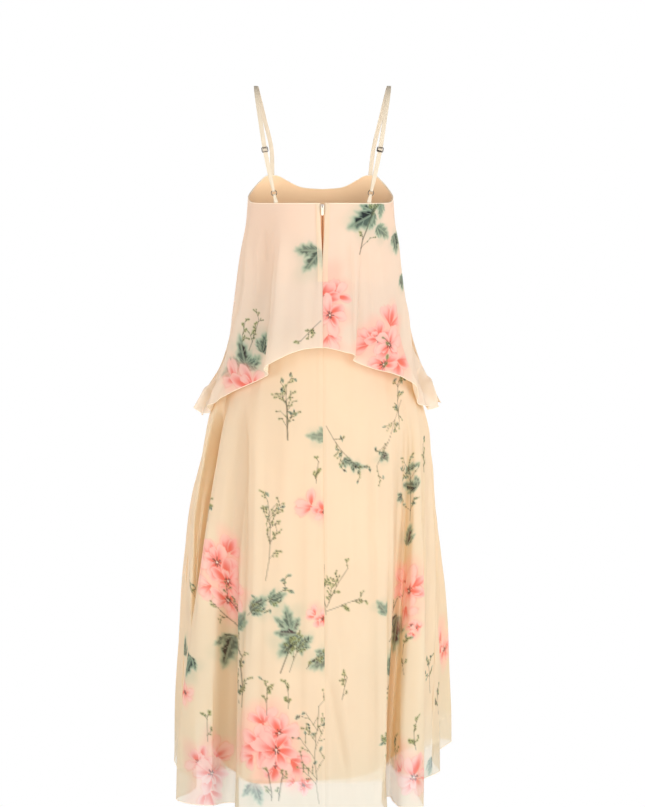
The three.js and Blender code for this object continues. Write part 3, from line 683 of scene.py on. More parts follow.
def paint_flower(panel, place, size, turn, seed):
    """Open flower of broad uneven petals, two short ones over them and a dark star of stamens."""
    rng = np.random.default_rng(seed)
    leans = [i * TURN / PETALS + rng.uniform(-0.2, 0.2) for i in rng.permutation(PETALS)]
    for i, lean in enumerate([*leans, *rng.uniform(0, TURN, 2)]):
        length = size * rng.uniform(0.85, 1.2) * (1 if i < PETALS else 0.62)
        width, depth = rng.uniform(0.36, 0.54), rng.uniform(0.35, 0.95)
        paint_petal(panel, place, turn + lean, length, width, rng, rng.uniform(0.65, 1), depth)
    paint_stamens(panel, place, size, rng)


def paint_fan(panel, place, size, turn, seed):
    """Half-open flower seen from the side: a fan of broad petals that fade at their tips."""
    rng = np.random.default_rng(seed)
    for lean, tip in ((-0.75, 0.65), (0.75, 0.65), (rng.uniform(-0.3, 0.3), 0.85)):
        angle = turn + lean + rng.uniform(-0.15, 0.15)
        depth = rng.uniform(0.35, 0.85)
        length, width = size * rng.uniform(0.8, 1.15), rng.uniform(0.34, 0.5)
        paint_petal(panel, place, angle, length, width, rng, tip, depth)


def paint_cluster(panel, place, wide, high, seed):
    """Packed blossoms on a blush: half-open ones round the rim, then open ones over them."""
    rng = np.random.default_rng(seed)
    blossom = min(BLOSSOM, 0.9 * max(wide, high))
    count = max(2, round(CLUSTER_FILL * wide * high / blossom ** 2))

    def spots(spread):
        for i in reversed(range(count)):
            out = spread * math.sqrt((i + 0.4) / count)
            angle = i * CLUSTER_TURN + rng.uniform(-0.35, 0.35)
            yield i, out, angle, beside(place, wide * out * math.cos(angle), high * out * math.sin(angle))

    for *_, centre in spots(1):
        paint_blot(panel, centre, 1.3 * blossom, BLUSH, 0.7, rng)
    for i, out, angle, centre in spots(0.8):
        paint = paint_fan if out > 0.58 else paint_flower
        paint(panel, centre, blossom * rng.uniform(0.8, 1.1), angle, seed * 40 + i)


def paint_blade(panel, place, angle, length, width, rng, dark):
    """One leaf blade: a soft mint edge, teal inside, and a dark heart between pale veins."""
    chosen, u, v = near(panel, place, 1.25 * length)
    along, across = turned_to(u, v, angle, length)
    p, q = rng.uniform(0, TURN, 2)
    side = np.abs(across)
    t = np.clip(along + 0.04 * np.sin(13 * across + p), 0, 1)
    notch = 0.16 * np.sin(TURN * 3.2 * (t - 0.8 * side) + p * np.sign(across))
    notch = 1 + notch + 0.06 * np.sin(TURN * 7.1 * t + q)
    room = (width * np.sin(np.pi * t ** 0.75) ** 0.9 * notch - side) / width
    within = smooth(-0.06, 0.1, along) * smooth(1.08, 0.85, along)
    wash(panel, chosen, 0.8 * within * smooth(-0.35, 0.3, room), MINT)
    wash(panel, chosen, (0.3 + 0.4 * dark) * within * smooth(0, 0.6, room), TEAL)
    heart = smooth(0.15, 0.6, room + 0.5 * (0.4 - along))
    heart = heart * np.where(np.sign(across) == np.sign(math.sin(q)), 1, 0.6)
    wash(panel, chosen, 1.1 * dark * within * heart, PLUM if rng.uniform() < 0.4 else INK)
    rib = np.abs(np.sin(math.pi * 4 * (along - 1.1 * side) + q))
    vein = np.maximum(smooth(0.045, 0.01, side), 0.8 * smooth(0.3, 0.08, rib) * smooth(0.1, 0.4, room))
    wash(panel, chosen, 0.5 * vein * within * smooth(0.02, 0.15, along) * smooth(0.95, 0.6, along), MINT)


def paint_leaf(panel, place, size, turn, seed, dark):
    """Leaf of three blades that spread from one stalk."""
    rng = np.random.default_rng(seed)
    base = beside(place, *ray(turn, -0.5 * size))
    paint_blot(panel, place, 0.8 * size, MINT, 0.25, rng)
    for lean, share in ((-0.8, 0.75), (0.7, 0.7), (0.0, 1.1)):
        angle = turn + lean + rng.uniform(-0.2, 0.2)
        length, width = size * share * rng.uniform(0.8, 1.2), rng.uniform(0.2, 0.28)
        paint_blade(panel, base, angle, length, width, rng, dark)


def paint_bud(panel, centre, rng, leafy):
    """End of a twig: a small dark bud in a green halo, or a small leaf."""
    if rng.uniform() < leafy:
        length, width, dark = rng.uniform(7, 12), rng.uniform(0.24, 0.32), rng.uniform(0.4, 1)
        paint_blade(panel, centre, rng.uniform(0, TURN), length, width, rng, dark)
        return
    size = rng.uniform(2.0, 3.4)
    paint_dab(panel, centre, 0, 2.2 * size, 2.0 * size, BUD, 0.3)
    paint_dab(panel, centre, rng.uniform(0, TURN), size, 0.8 * size, INK, rng.uniform(0.4, 0.9))


def paint_twig(panel, place, spot, angle, length, rng, leafy, shoots):
    """Crooked thin twig from an offset, with side shoots, ended by buds."""
    for _ in range(TWIG_STEPS):
        angle += rng.uniform(-0.18, 0.18)
        end = tuple(np.add(spot, ray(angle, length / TWIG_STEPS)))
        paint_stroke(panel, place, spot, end, TWIG_THICK, TWIG, 0.5)
        if rng.uniform() < 0.5:
            paint_bud(panel, beside(place, *end), rng, 0)
        if shoots and rng.uniform() < 0.75:
            lean = angle + rng.choice([-1, 1]) * rng.uniform(0.5, 1.0)
            paint_twig(panel, place, end, lean, length * rng.uniform(0.3, 0.5), rng, leafy, shoots - 1)
        spot = end
    paint_bud(panel, beside(place, *spot), rng, leafy)


def paint_sprig(panel, place, tip, seed, twigs, leafy, thick=1.0):
    """Crooked stem from a place to an offset, with uneven twigs to both sides."""
    rng = np.random.default_rng(seed)
    reach = math.hypot(*tip)
    angle = math.atan2(tip[1], tip[0])
    shares = np.sort(rng.uniform(0.12, 0.95, twigs))
    bow = rng.uniform(-0.05, 0.05)
    spot = (0, 0)
    for share in [*shares, 1]:
        side = (bow * math.sin(math.pi * share) + rng.uniform(-0.01, 0.01)) * reach
        end = (tip[0] * share - side * math.sin(angle), tip[1] * share + side * math.cos(angle))
        paint_stroke(panel, place, spot, end, thick, TWIG, 0.5 * thick)
        lean = angle + rng.choice([-1, 1]) * rng.uniform(0.35, 0.8)
        paint_twig(panel, place, end, lean, reach * rng.uniform(0.1, 0.24) + 3, rng, leafy, 1)
        spot = end


# Leaves by pixel: size, turn in degrees from the right, upwards, and darkness
LEAVES = {
    "overlay": [
        (363, 220, 60, 205, 0.95), (381, 211, 28, 250, 0.35), (383, 232, 34, 320, 0.45),
        (313, 264, 62, 235, 0.7), (378, 366, 38, 160, 0.9), (240, 353, 66, 100, 0.95),
        (262, 340, 50, 70, 0.95), (229, 370, 44, 200, 0.8), (252, 361, 30, 20, 0.6),
        (396, 243, 36, 280, 0.8), (404, 282, 30, 285, 0.7),
    ],
    "skirt": [
        (317, 436, 34, 175, 0.3), (410, 468, 28, 10, 0.7), (408, 487, 34, 170, 0.9),
        (406, 536, 32, 95, 0.85), (230, 650, 62, 250, 0.9), (237, 617, 46, 60, 0.4),
        (259, 606, 38, 30, 0.7), (275, 597, 34, 25, 0.6), (290, 618, 52, 100, 0.6),
        (288, 645, 58, 230, 0.85), (321, 659, 46, 200, 0.7), (395, 634, 66, 260, 0.95),
        (400, 622, 40, 60, 0.7), (383, 606, 32, 120, 0.4), (182, 645, 48, 100, 0.8),
        (187, 668, 48, 250, 0.8), (254, 795, 44, 280, 0.5), (435, 768, 40, 280, 0.5),
        (348, 461, 22, 320, 0.7), (358, 466, 24, 330, 0.9), (383, 457, 26, 240, 0.9),
        (400, 498, 22, 200, 0.8), (304, 640, 30, 40, 0.6),
    ],
}
# Flower clusters by pixel: half their width and height
CLUSTERS = {
    "overlay": [(386, 345, 46, 70), (324, 312, 32, 70), (244, 384, 40, 16)],
    "skirt": [
        (224, 577, 42, 84), (269, 750, 58, 62), (205, 774, 44, 54), (405, 588, 30, 50),
        (409, 780, 24, 48), (320, 510, 24, 30), (444, 648, 16, 54), (182, 692, 18, 24),
        (321, 617, 14, 20), (298, 785, 18, 12), (413, 626, 14, 14),
    ],
}
# Sprigs from one pixel to another: twigs, and the share of leaves at their ends
SPRIGS = {
    "overlay": [
        (247, 350, 257, 320, 4, 0), (240, 345, 243, 322, 3, 0), (392, 345, 386, 338, 1, 0),
        (383, 372, 388, 358, 2, 0), (322, 320, 299, 340, 4, 0),
    ],
    "skirt": [
        (287, 438, 285, 384, 7, 0.2), (400, 418, 399, 384, 5, 0.2), (325, 425, 360, 468, 4, 0.6),
        (402, 400, 378, 466, 4, 0.6), (315, 482, 317, 460, 3, 0), (264, 580, 266, 500, 12, 0.1),
        (206, 742, 205, 716, 3, 0), (238, 702, 237, 668, 5, 0.2), (246, 614, 286, 588, 5, 0.8),
        (324, 614, 322, 566, 6, 0.1), (324, 606, 308, 568, 5, 0), (325, 606, 348, 567, 5, 0),
        (325, 610, 360, 598, 4, 0), (402, 674, 402, 644, 4, 0.2), (388, 714, 388, 688, 4, 0.1),
        (265, 714, 265, 688, 4, 0.2), (287, 710, 287, 686, 4, 0), (317, 804, 318, 706, 9, 0.35),
        (431, 694, 430, 664, 4, 0.3), (439, 714, 438, 690, 3, 0.3), (417, 750, 416, 724, 4, 0),
        (425, 472, 424, 444, 4, 0.2), (394, 772, 394, 740, 4, 0.2), (290, 672, 300, 640, 5, 0.5),
        (305, 668, 322, 652, 3, 0.5), (408, 520, 406, 466, 6, 0.4), (340, 700, 346, 676, 3, 0),
        (206, 520, 208, 500, 3, 0.1),
    ],
}
# Bold stems from one pixel to another: twigs
BRANCHES = {
    "overlay": [(361, 254, 376, 206, 5)],
    "skirt": [
        (240, 656, 228, 598, 3), (239, 650, 221, 612, 2), (240, 706, 238, 660, 4), (270, 802, 266, 772, 2),
        (278, 802, 284, 776, 2), (390, 640, 398, 600, 2), (279, 672, 290, 640, 3), (287, 438, 285, 400, 3),
    ],
}
BRANCH_THICK = 1.35
PIXEL_MM = 1.9
SCATTER_STEP = 135
SCATTER_REACH = 12
SCATTER_CLUSTER = 46
SCATTER_LEAF = 52
SCATTER_SPRIG = 70
CLUSTER_FACING = -0.5
SPRIG_FACING = -0.2
LEAF_SEED, CLUSTER_SEED, SPRIG_SEED, BRANCH_SEED, SCATTER_SEED = 100, 200, 400, 600, 700


def paint_hidden(panel, seed):
    """Like motifs, spread over the parts of a panel that the photograph doesn't show."""
    rng = np.random.default_rng(seed)
    toward = unit(np.array(CAMERA_PLACE) - panel.points)
    facing = np.einsum("ijk,ijk->ij", panel.normal, toward)
    for down in np.arange(0.5 * SCATTER_STEP, panel.length.max(), SCATTER_STEP):
        for arc in np.arange(panel.arc.min(), panel.arc.max(), SCATTER_STEP):
            place = tuple(at + rng.uniform(-0.3, 0.3) * SCATTER_STEP for at in (arc, down))
            kind, turn, part = rng.choice(4), rng.uniform(0, 360), rng.integers(1000)
            away = np.hypot(panel.arc - place[0], panel.length - place[1])
            spot = np.unravel_index(np.argmin(away), away.shape)
            most = SPRIG_FACING if kind else CLUSTER_FACING
            if away[spot] > SCATTER_REACH or facing[spot] > most:
                continue
            if kind == 0:
                paint_cluster(panel, place, SCATTER_CLUSTER, SCATTER_CLUSTER, part)
            elif kind == 1:
                paint_leaf(panel, place, SCATTER_LEAF, math.radians(turn), part, 0.85)
            else:
                lean = math.radians(90 + rng.uniform(-35, 35))
                paint_sprig(panel, place, ray(lean, SCATTER_SPRIG), part, 6, 0.25)


def stem_place(layer, x0, y0, x1, y1):
    """Panel and cloth place of a stem's foot, and the offset of its tip."""
    panel, *place = find_place(layer, x0, y0)
    other, arc, length = find_place(layer, x1, y1)
    if other is not panel:
        return panel, place, ((x1 - x0) * PIXEL_MM, (y0 - y1) * PIXEL_MM)
    return panel, place, (arc - place[0], place[1] - length)


for count, panel in enumerate(panels.values()):
    if panel.printed:
        paint_hidden(panel, SCATTER_SEED + count)
for count, (layer, px, py, size, turn, dark) in by_layer(LEAVES):
    panel, *place = find_place(layer, px, py)
    paint_leaf(panel, place, size, math.radians(turn), LEAF_SEED + count, dark)
for count, (layer, px, py, wide, high) in by_layer(CLUSTERS):
    panel, *place = find_place(layer, px, py)
    paint_cluster(panel, place, wide, high, CLUSTER_SEED + count)
for count, (layer, *ends, twigs, leafy) in by_layer(SPRIGS):
    paint_sprig(*stem_place(layer, *ends), SPRIG_SEED + count, twigs, leafy)
for count, (layer, *ends, twigs) in by_layer(BRANCHES):
    paint_sprig(*stem_place(layer, *ends), BRANCH_SEED + count, twigs, 0, BRANCH_THICK)
# Painted shade: cloth deep in creases and tucks is made darker and warmer in its colour
for panel in panels.values():
    panel.colour = panel.colour * lerp(1, PAINTED_FOLD_SHADE, panel.fold[..., None])


# Materials, with the size of their weave or grain, and the light that comes through chiffon
CHIFFON_WEAVE = 900
CLOTH_WEAVE = 1100
METAL_GRAIN = 700
MOTTLE_SCALE = 9
MOTTLE = 0.04
THROUGH_SHARE = 0.36
THROUGH_TINT = (1, 0.7, 0.38)


def rgba(colour):
    return (*colour, 1)


class Shader:
    """A node tree, with nodes added by kind and their inputs set, or linked to a node or a socket."""

    def __init__(self, owner):
        owner.use_nodes = True
        self.owner = owner
        self.tree = owner.node_tree
        self.tree.nodes.clear()

    def add(self, kind, settings=None, **inputs):
        node = self.tree.nodes.new("ShaderNode" + kind)
        for key, value in (settings or {}).items():
            setattr(node, key, value)
        for key, value in inputs.items():
            socket = node.inputs[int(key[1:]) if key[1:].isdigit() else key.replace("_", " ")]
            if isinstance(value, bpy.types.Node):
                value = value.outputs[0]
            if isinstance(value, bpy.types.NodeSocket):
                self.tree.links.new(value, socket)
            else:
                socket.default_value = value
        return node

    def ramp(self, value, low, high):
        node = self.add("ValToRGB", Fac=value)
        for element, colour in zip(node.color_ramp.elements, (low, high)):
            element.color = rgba(colour)
        return node

    def finish(self, surface, kind="OutputMaterial"):
        self.add(kind, Surface=surface)
        return self.owner


def weave_bump(shader, scale, strength):
    """Fine crepe weave on the flat cloth's own coordinates."""
    place = shader.add("UVMap", {"uv_map": "cloth"})
    noise = shader.add("TexNoise", Vector=place, Scale=scale, Detail=3, Roughness=0.6)
    wave = shader.add("TexWave", {"bands_direction": "X"}, Vector=place, Scale=scale, Distortion=1.5,
                      Detail=1)
    height = shader.add("Math", {"operation": "ADD"}, i0=noise, i1=wave.outputs["Fac"])
    return shader.add("Bump", Height=height, Strength=strength, Distance=0.0003)


def mottled(shader, colour):
    """Colour with a slow uneven tint, as dyed cloth has."""
    place = shader.add("UVMap", {"uv_map": "cloth"})
    noise = shader.add("TexNoise", Vector=place, Scale=MOTTLE_SCALE, Detail=4, Roughness=0.55)
    spread = shader.add("MapRange", Value=noise, To_Min=1 - MOTTLE, To_Max=1 + MOTTLE)
    return shader.add("MixRGB", {"blend_type": "MULTIPLY"}, Fac=1, Color1=colour, Color2=spread)


def chiffon_material(name):
    """Sheer crepe: the print's colour with the painted fold shade in it, with the print's alpha as how much
    of the cloth is thread.
    """
    shader = Shader(bpy.data.materials.new(name))
    printed = shader.add("Attribute", {"attribute_name": "print"})
    colour = mottled(shader, printed)
    bump = weave_bump(shader, CHIFFON_WEAVE, 0.25)
    cloth = shader.add("BsdfPrincipled", Base_Color=colour, Roughness=0.8, Normal=bump, Sheen_Weight=0.1,
                       Sheen_Roughness=0.4, Specular_IOR_Level=0.15)
    glow = shader.add("MixRGB", {"blend_type": "MULTIPLY"}, Fac=1, Color1=colour, Color2=rgba(THROUGH_TINT))
    through = shader.add("BsdfTranslucent", Color=glow, Normal=bump)
    solid = shader.add("MixShader", Fac=THROUGH_SHARE, i1=cloth, i2=through)
    clear = shader.add("BsdfTransparent")
    return shader.finish(shader.add("MixShader", Fac=printed.outputs["Alpha"], i1=clear, i2=solid))


def cloth_material(name, colour, roughness, sheen):
    shader = Shader(bpy.data.materials.new(name))
    mixed = mottled(shader, rgba(colour))
    bump = weave_bump(shader, CLOTH_WEAVE, 0.2)
    return shader.finish(shader.add("BsdfPrincipled", Base_Color=mixed, Roughness=roughness, Normal=bump,
                                    Sheen_Weight=sheen, Sheen_Roughness=0.4, Specular_IOR_Level=0.25))


def metal_material(name, colour, roughness, metallic):
    """Metal or enamel with small uneven wear."""
    shader = Shader(bpy.data.materials.new(name))
    place = shader.add("TexCoord").outputs["Object"]
    noise = shader.add("TexNoise", Vector=place, Scale=METAL_GRAIN, Detail=4)
    rough = shader.add("MapRange", Value=noise, To_Min=roughness - 0.1, To_Max=roughness + 0.15)
    wear = shader.ramp(noise, 0.75 * colour, np.minimum(1.25 * colour, 1))
    bump = shader.add("Bump", Height=noise, Strength=0.1, Distance=0.0002)
    return shader.finish(shader.add("BsdfPrincipled", Base_Color=wear, Metallic=metallic, Roughness=rough,
                                    Normal=bump))


CHIFFON = chiffon_material("printed_chiffon")
LINING = cloth_material("lining_cloth", linear(250, 216, 174), 0.6, 0.1)
EDGE = cloth_material("rolled_edge", linear(253, 236, 210), 0.7, 0.2)
STITCH = cloth_material("stitching", linear(238, 208, 172), 0.7, 0)
STRAP = cloth_material("strap_cloth", linear(218, 203, 180), 0.7, 0.1)
TAPE = cloth_material("zip_tape", linear(240, 190, 144), 0.7, 0.1)
TEETH = cloth_material("zip_coil", linear(176, 118, 80), 0.5, 0)
BRONZE = metal_material("bronze", linear(112, 100, 90), 0.35, 0.85)
ENAMEL = metal_material("cream_enamel", linear(236, 222, 198), 0.35, 0.0)
STEEL = metal_material("steel", linear(150, 142, 134), 0.35, 0.8)
MATERIALS = {"chiffon": CHIFFON, "lining": LINING}


# Meshes
def finish_mesh(name, mesh, material):
    mesh.polygons.foreach_set("use_smooth", np.ones(len(mesh.polygons), bool))
    mesh.materials.append(material)
    piece = bpy.data.objects.new(name, mesh)
    scene.collection.objects.link(piece)
    return piece


def new_object(name, points, faces, material):
    mesh = bpy.data.meshes.new(name)
    mesh.from_pydata(np.asarray(points, float).reshape(-1, 3) * MM, [], np.asarray(faces).tolist())
    return finish_mesh(name, mesh, material)


def attach(piece, slot, node=None, body=BODY):
    """Fixes a piece to its body and hides the node that it stands for; the slot is not used."""
    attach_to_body(piece, body)
    if node:
        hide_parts(node)
    return piece


def grid_faces(rows, columns, first=0):
    index = first + np.arange(rows * columns).reshape(rows, columns)
    return np.stack([index[:-1, :-1], index[1:, :-1], index[1:, 1:], index[:-1, 1:]], -1).reshape(-1, 4)


def add_uv(piece, uv):
    layer = piece.data.uv_layers.new(name="cloth")
    corner = np.empty(len(piece.data.loops), int)
    piece.data.loops.foreach_get("vertex_index", corner)
    layer.data.foreach_set("uv", (np.asarray(uv, float).reshape(-1, 2) * MM)[corner].ravel())


# Share of thread in the chiffon, over the lining and below its hem, and where it changes
LINED_COVER = 0.88
SHEER_COVER = 0.62
SHEER_FROM = LINING_HEM_Z + 16
SHEER_FULL = LINING_HEM_Z + 4
INK_COVER = 0.4


def add_print(piece, points, colour):
    """Gives a piece its print with the painted fold shade in it, and as the print's alpha how much of the
    cloth is thread.
    """
    attribute = piece.data.color_attributes.new("print", "FLOAT_COLOR", "POINT")
    cover = lerp(LINED_COVER, SHEER_COVER, smooth(SHEER_FROM, SHEER_FULL, points[..., 2]))
    # Print and painted fold shade both count as ink, which makes the cloth more opaque
    ink_and_shade = np.clip((CREAM - colour).max(-1), 0, 1)
    cover = cover + INK_COVER * ink_and_shade * (1 - cover)
    attribute.data.foreach_set("color", np.concatenate([colour, cover[..., None]], -1).ravel())


def add_tubes(name, lines, radius, material, slot, sides=6):
    """Round tubes along lines of points."""
    angle = np.arange(sides + 1) * TURN / sides
    points, faces, first = [], [], 0
    for line in lines:
        line = np.asarray(line, float)
        along = unit(np.gradient(line, axis=0))
        side = unit(np.cross(along, [0.31, 0.83, 0.46]))
        up = np.cross(side, along)
        ring = side[:, None] * np.cos(angle)[:, None] + up[:, None] * np.sin(angle)[:, None]
        points.append((line[:, None] + radius * ring).reshape(-1, 3))
        faces.append(grid_faces(len(line), sides + 1, first))
        first += len(line) * (sides + 1)
    points = np.concatenate(points)
    piece = new_object(name, points, np.concatenate(faces), material)
    add_uv(piece, points[:, [0, 2]])
    return attach(piece, slot)


def flat_cut(points):
    """Width, length and area of a panel's flat cut, in metres."""
    points = points * MM
    a, b, c, d = points[:-1, :-1], points[:-1, 1:], points[1:, :-1], points[1:, 1:]
    double = sum(np.linalg.norm(np.cross(c - at, b - at), axis=-1).sum() for at in (a, d))
    return steps(points, 1).sum(1).max(), steps(points).sum(0).max(), 0.5 * double


# Turned-back bands beside the slit, with their stitches
FACING_WIDTH = 9.5
FACING_DOWN = 0.55
FACING_OUT = 0.7
FACING_COLUMNS = 8
FACING_TINT = 0.7
STITCH_FROM = 2
STITCH_IN = 1.4
STITCH_PITCH = 3.4
STITCH_LONG = 2.2
STITCH_RADIUS = 0.25


def between(at, run, values):
    """Points or colours at places on a run."""
    return np.stack([np.interp(at, run, values[:, i]) for i in range(3)], -1)


def beside_slit(panel, values, arcs):
    """A panel's values at distances from its slit edge, by rows down the slit."""
    found = []
    for row in range(int(FACING_DOWN * (len(panel.arc) - 1))):
        order = np.argsort(panel.arc[row])
        found.append(between(side_of(panel.name) * arcs, panel.arc[row][order], values[row, order]))
    return np.array(found)


def facing_points(panel, arcs, out):
    return beside_slit(panel, panel.points, arcs) + out * beside_slit(panel, panel.normal, arcs)


def add_facing(panel):
    arcs = np.linspace(0, FACING_WIDTH, FACING_COLUMNS)
    points = facing_points(panel, arcs, FACING_OUT)
    facing = new_object(f"facing_{panel.name}", points, grid_faces(*points.shape[:2]), CHIFFON)
    add_uv(facing, points[..., [0, 2]])
    add_print(facing, points, lerp(beside_slit(panel, panel.colour, arcs), FACING_CREAM, FACING_TINT))
    attach(facing, "chiffon")
    line = facing_points(panel, np.array([FACING_WIDTH - STITCH_IN]), FACING_OUT + STITCH_RADIUS)[:, 0]
    run = running(steps(line))
    starts = np.arange(STITCH_FROM, run[-1] - STITCH_LONG, STITCH_PITCH)
    dashes = [between(start + np.array([0, 0.5, 1]) * STITCH_LONG, run, line) for start in starts]
    return [facing, add_tubes(f"stitches_{panel.name}", dashes, STITCH_RADIUS, STITCH, "chiffon")]


for (layer, name), panel in panels.items():
    data = LAYERS[layer]
    slot = data["slot"]
    node = f"{layer}_{name}"
    piece = new_object(f"cloth_{node}", panel.points, grid_faces(*panel.arc.shape), MATERIALS[slot])
    add_uv(piece, np.stack([panel.arc, -panel.length], -1))
    if panel.printed:
        add_print(piece, panel.points, panel.colour)
    attach(piece, slot, node)
    edges = (-1, 0) if layer in ("overlay", "bodice") else (-1,)
    sewn = [add_tubes(f"hem_{node}", [panel.points[edge] for edge in edges], data["hem"], EDGE, slot)]
    if layer == "overlay" and name != "front":
        sewn += add_facing(panel)
    across, down, area = flat_cut(panel.points)
    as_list(data["rests_on"])


# Straps
STRAP_PATH = [
    (100, 101, -115), (113, 82, -58), (123, 45, -14), (126, 0, 0), (123.5, -44, -18),
    (115.5, -78, -68), (107, -95, -122), (97.5, -98, -168), (91.2, -97, -197),
]
STRAP_LAST = len(STRAP_PATH)
STRAP_FRONT_AT = 140
STRAP_FRONT_RISE = 0.5
STRAP_ADJUSTER_ROW = 7
WEAVE_START = 0.4
STRAND_START_ROW = 7.2
STRAP_WIDTH = 8.2
STRAP_THICK = 1.0
STRAP_AT_RING = 5.2
RING_RADIUS = 5.05
RING_WIRE = 0.75
RING_GRID = (65, 17)
ADJUSTER_PITCH = 4.1
WEAVE = 1.8
RETURN_DEPTH = 3.3
STRAND_TURN = 2.43
TURN_STEPS = 14
TAB_END = (86.5, -94.5, -220)
TAB_SPREAD = 0.65
BAND_SIDES = 20
STRAP_ROWS, WEAVE_ROWS, STRAND_ROWS, LEG_ROWS = 90, 25, 30, 12


def smooth_curve(points):
    """Point on a centripetal curve through points, by row number."""
    points = np.asarray(points, float)
    whole = np.concatenate([[2 * points[0] - points[1]], points, [2 * points[-1] - points[-2]]])

    def at(row):
        i = min(int(row), len(points) - 2)
        t = row - i
        p0, p1, p2, p3 = whole[i:i + 4]
        d0, d1, d2 = np.sqrt(steps(whole[i:i + 4]))
        leave = d1 * ((p1 - p0) / d0 - (p2 - p0) / (d0 + d1) + (p2 - p1) / d1)
        arrive = d1 * ((p2 - p1) / d1 - (p3 - p1) / (d1 + d2) + (p3 - p2) / d2)
        rise = p2 - p1
        return p1 + t * (leave + t * (3 * rise - 2 * leave - arrive + t * (leave + arrive - 2 * rise)))

    return at


def strap_places(side):
    """Places on one strap by row: its centre, and its directions down, across and out."""
    front = bodice_surface(np.array(float(side * STRAP_FRONT_AT)), np.array(0.0)) + [0, 0, STRAP_FRONT_RISE]
    curve = smooth_curve([front] + [(side * x, y, z) for x, y, z in STRAP_PATH])

    def at(row):
        row = min(max(row, 0), STRAP_LAST)
        down = unit(curve(min(row + 0.001, STRAP_LAST)) - curve(max(row - 0.001, 0)))
        across = unit(np.array([1, 0, 0]) - down[0] * down)
        return dict(centre=curve(row), down=down, across=across, normal=np.cross(down, across))

    return at


def shifted(place, down, out, width):
    centre = place["centre"] + down * place["down"] + out * place["normal"]
    return {**place, "centre": centre, "width": width}


def turned(place):
    return {**place, "normal": -place["normal"]}


def turn_places(wire, hang):
    """Half turn of a band round a wire, below it or above it."""
    places = []
    for angle in np.linspace(0, math.pi, TURN_STEPS):
        out, down = ray(angle, STRAND_TURN)
        place = shifted(wire, hang * down, out, STRAP_AT_RING)
        place["normal"] = math.cos(angle) * wire["normal"] + hang * math.sin(angle) * wire["down"]
        places.append(place)
    return places


def strap_band(at):
    """Places down a strap, woven through its adjuster, round its ring and back up."""
    rows = np.linspace(0, STRAP_ADJUSTER_ROW - WEAVE_START, STRAP_ROWS)
    places = [{**at(row), "width": STRAP_WIDTH} for row in rows]
    for t in np.linspace(-1, 1, WEAVE_ROWS):
        weave = WEAVE * math.cos(math.pi * t)
        places.append(shifted(at(STRAP_ADJUSTER_ROW), t * ADJUSTER_PITCH, weave, STRAP_WIDTH))

    def strand(t, start, end):
        width = lerp(STRAP_WIDTH, STRAP_AT_RING, smooth(0.5, 1, t))
        out = lerp(start, end, smooth(0, 1, t))
        return shifted(at(lerp(STRAND_START_ROW, STRAP_LAST, t)), 0, out, width)

    inner = np.linspace(0, 1, STRAND_ROWS)
    places += [strand(t, -WEAVE, STRAND_TURN) for t in inner[3:-1]]
    places += turn_places(at(STRAP_LAST), 1)
    return places + [turned(strand(t, -RETURN_DEPTH, -STRAND_TURN)) for t in inner[-2::-1]]


def tab_band(side, wire):
    """Places up a tab, round the ring's lowest wire and down again."""
    end = np.array([side * TAB_END[0], TAB_END[1], TAB_END[2]])

    def leg(t, out):
        place = {**wire, "centre": lerp(wire["centre"], end, t)}
        share = smooth(0, 1, t)
        width = lerp(STRAP_AT_RING, STRAP_WIDTH, share)
        return shifted(place, 0, out * lerp(STRAND_TURN, TAB_SPREAD, share), width)

    rows = np.linspace(1, 0.1, LEG_ROWS)
    places = [turned(leg(t, 1)) for t in rows]
    places += [turned(place) for place in turn_places(wire, -1)]
    return places + [leg(t, -1) for t in rows[::-1]]


def add_band(name, node, places):
    """Soft flat band with rounded edges through places."""
    angle = np.arange(BAND_SIDES + 1) * TURN / BAND_SIDES
    wide = np.sign(np.cos(angle)) * np.abs(np.cos(angle)) ** 0.5
    high = np.sign(np.sin(angle)) * np.abs(np.sin(angle)) ** 0.8
    points = []
    for place in places:
        ring = place["centre"] + 0.5 * place["width"] * wide[:, None] * place["across"]
        points.append(ring + 0.5 * STRAP_THICK * high[:, None] * place["normal"])
    points = np.array(points)
    piece = new_object(name, points, grid_faces(*points.shape[:2]), STRAP)
    edge = np.linspace(0, 2 * STRAP_WIDTH, BAND_SIDES + 1)
    add_uv(piece, np.stack(np.meshgrid(edge, running(steps(points.mean(1)))), -1))
    attach(piece, "strap", node)


def add_ring(name, node, place):
    angle, turn = (np.linspace(0, TURN, count) for count in RING_GRID)
    radial = np.cos(angle)[:, None] * place["across"] + np.sin(angle)[:, None] * place["down"]
    wire = np.cos(turn)[:, None] * radial[:, None] + np.sin(turn)[:, None] * place["normal"]
    points = (place["centre"] + RING_RADIUS * radial)[:, None] + RING_WIRE * wire
    attach(new_object(name, points, grid_faces(*RING_GRID), BRONZE), "metal", node)


FLAT_ANGLE = math.radians(4)
SHARP_ANGLE = math.radians(40)


def add_refined(name, node, material, slot, bevel, body=BODY):
    """A fitting on its node's own form, with rounded edges."""
    mesh = bpy.data.meshes.new(name)
    build = bmesh.new()
    build.from_mesh(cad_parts[node].data)
    bmesh.ops.remove_doubles(build, verts=build.verts, dist=0.00001)
    bmesh.ops.dissolve_limit(build, angle_limit=FLAT_ANGLE, verts=build.verts, edges=build.edges)
    sharp = [edge for edge in build.edges if edge.is_manifold and edge.calc_face_angle() > SHARP_ANGLE]
    bmesh.ops.bevel(build, geom=sharp, offset=bevel * MM, segments=3, profile=0.6, affect="EDGES",
                    clamp_overlap=True)
    build.to_mesh(mesh)
    build.free()
    attach(finish_mesh(name, mesh, material), slot, node, body)


